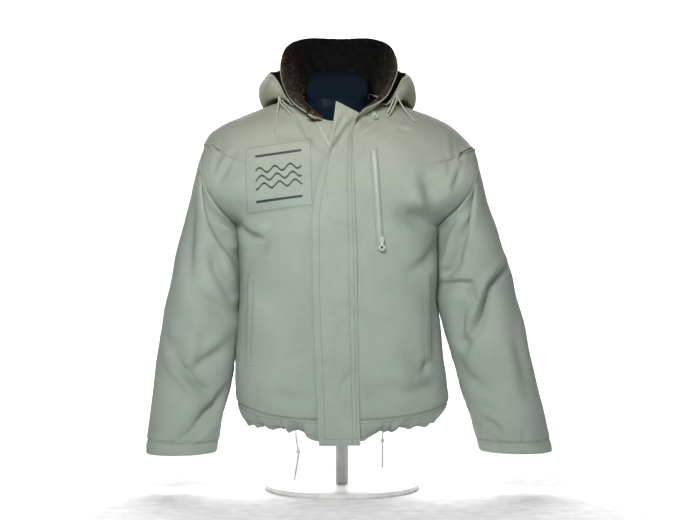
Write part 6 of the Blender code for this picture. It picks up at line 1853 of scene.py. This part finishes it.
def add_light(lamp):
    data = bpy.data.lights.new(lamp.name, "AREA")
    data.shape = "RECTANGLE"
    data.size, data.size_y = lamp.size
    data.energy = lamp.power
    light = bpy.data.objects.new(lamp.name, data)
    light.location = lamp.place
    way = Vector(lamp.target) - Vector(lamp.place)
    light.rotation_euler = way.to_track_quat("-Z", "Y").to_euler()
    bpy.context.scene.collection.objects.link(light)


CAMERA_PLACE = (0.0156, -3.0, 0.445)
CAMERA_LENS = 79.1


def set_camera():
    data = bpy.data.cameras.new("camera")
    data.lens = CAMERA_LENS
    data.sensor_width = 36.0
    camera = bpy.data.objects.new("camera", data)
    camera.location = CAMERA_PLACE
    camera.rotation_euler = (math.radians(90.0), 0.0, 0.0)
    bpy.context.scene.collection.objects.link(camera)
    bpy.context.scene.camera = camera


FLOOR_FRONT = -1.4
FLOOR_BACK = 3.8              # the floor curves up from here
FLOOR_CURVE = 1.2
FLOOR_STEPS = 12
FLOOR_HALF_WIDTH = 2.4
BACKDROP_TOP = 2.6
WORLD_LIGHT = 0.08
Lamp = namedtuple("Lamp", "name place target size power")
LAMPS = (
    Lamp("key", (-0.20, -1.38, 1.14), (0.0, 0.0, 0.55), (0.5, 0.45), 22.0),
    Lamp("fill", (0.9, -2.6, 1.2), (0.0, 0.0, 0.55), (1.2, 1.2), 5.0),
    Lamp("backdrop", (0.0, 2.6, 2.7), (0.0, 4.9, 0.9), (4.2, 1.2), 210.0),
    Lamp("floor", (0.0, 3.0, 1.9), (0.0, 0.3, 0.0), (3.6, 0.8), 230.0),
)


def set_studio():
    """A pale floor that curves up into a backdrop, under large soft lights."""
    ground = smooth_material("studio_paper", (0.90, 0.90, 0.90), 0.9, shine=0.0)
    profile = [(FLOOR_FRONT, 0.0), (FLOOR_BACK, 0.0)]
    for step in range(1, FLOOR_STEPS + 1):
        angle = math.pi / 2 * step / FLOOR_STEPS
        profile.append((FLOOR_BACK + FLOOR_CURVE * math.sin(angle),
                        FLOOR_CURVE - FLOOR_CURVE * math.cos(angle)))
    profile.append((FLOOR_BACK + FLOOR_CURVE, BACKDROP_TOP))
    sides = (-FLOOR_HALF_WIDTH, FLOOR_HALF_WIDTH)
    points = np.array([(x, y, z) for y, z in profile for x in sides])
    faces = np.array([(2 * row, 2 * row + 1, 2 * row + 3, 2 * row + 2)
                      for row in range(len(profile) - 1)])
    paper = link_mesh("studio_floor", points, faces, (ground,))
    world = bpy.data.worlds.new("studio")
    world.use_nodes = True
    background = world.node_tree.nodes["Background"]
    background.inputs["Color"].default_value = (1.0, 1.0, 1.0, 1.0)
    background.inputs["Strength"].default_value = WORLD_LIGHT
    bpy.context.scene.world = world
    bpy.context.scene.view_settings.view_transform = "Standard"
    for lamp in LAMPS:
        add_light(lamp)


def paint_nodes(materials):
    """New materials for the solids that stay in view."""
    for name, material in materials.items():
        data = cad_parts[name].data
        data.materials.clear()
        data.materials.append(material)


def main():
    set_camera()
    make_cords(braid_material())
    shell_colours = {"base": (0.300, 0.348, 0.300), "dark": (0.268, 0.314, 0.274),
                     "light": (0.330, 0.374, 0.318)}
    # The shell's warm tint is painted warm light over the upper body: shoulders, upper chest,
    # collar and hood.
    cloth = cloth_material("shell_twill", roughness=0.88, twill=560.0,
                           painted_warm_light=(0.360, 0.340, 0.250), **shell_colours)
    trim = cloth_material("trim_tape", (0.35, 0.39, 0.33), (0.31, 0.35, 0.29),
                          (0.39, 0.43, 0.36), 0.85, 760.0)
    lining = cloth_material("dark_lining", (0.016, 0.015, 0.013), (0.009, 0.009, 0.008),
                            (0.026, 0.024, 0.020), 0.8, 760.0, sheen=0.02)
    pile = pile_material()
    ink = smooth_material("patch_ink", (0.020, 0.026, 0.034), 0.6)
    metal = smooth_material("zip_metal", (0.56, 0.61, 0.53), 0.38, metallic=0.30)
    form = smooth_material("form_gloss", (0.0050, 0.0105, 0.0185), 0.13, wear=0.03, shine=0.10)
    stand = smooth_material("stand_paint", (0.72, 0.72, 0.70), 0.38)
    # The thread is much darker than the cloth: partly its own colour, partly painted shade of the
    # stitch grooves, which the cloth does not carve.
    thread = smooth_material("thread", (0.085, 0.098, 0.078), 0.8, shine=0.1)
    guides = make_panels(cloth, lining)
    tree = guide_tree(guides)
    make_hem(cloth, lining)
    make_sleeves(cloth, lining)
    make_collar(cloth, pile)
    hood, hood_normals = make_hood(cloth, lining, tree)
    flap = make_flap(cloth, trim, tree)
    laid = make_trims((cloth, trim, metal, ink), tree)
    make_stitches(thread)
    make_trim_stitches(thread, flap, hood, hood_normals, laid)
    make_form(form)
    paint_nodes({"main_zip": trim, "chest_slider": metal, "chest_pull": metal,
                 "collar_slider": metal, "collar_pull": metal, "hood_eyelet_left": metal,
                 "hood_eyelet_right": metal, "hem_stop_left": metal, "hem_stop_right": metal,
                 "stand_pole": stand, "stand_base": stand})
    set_studio()


main()
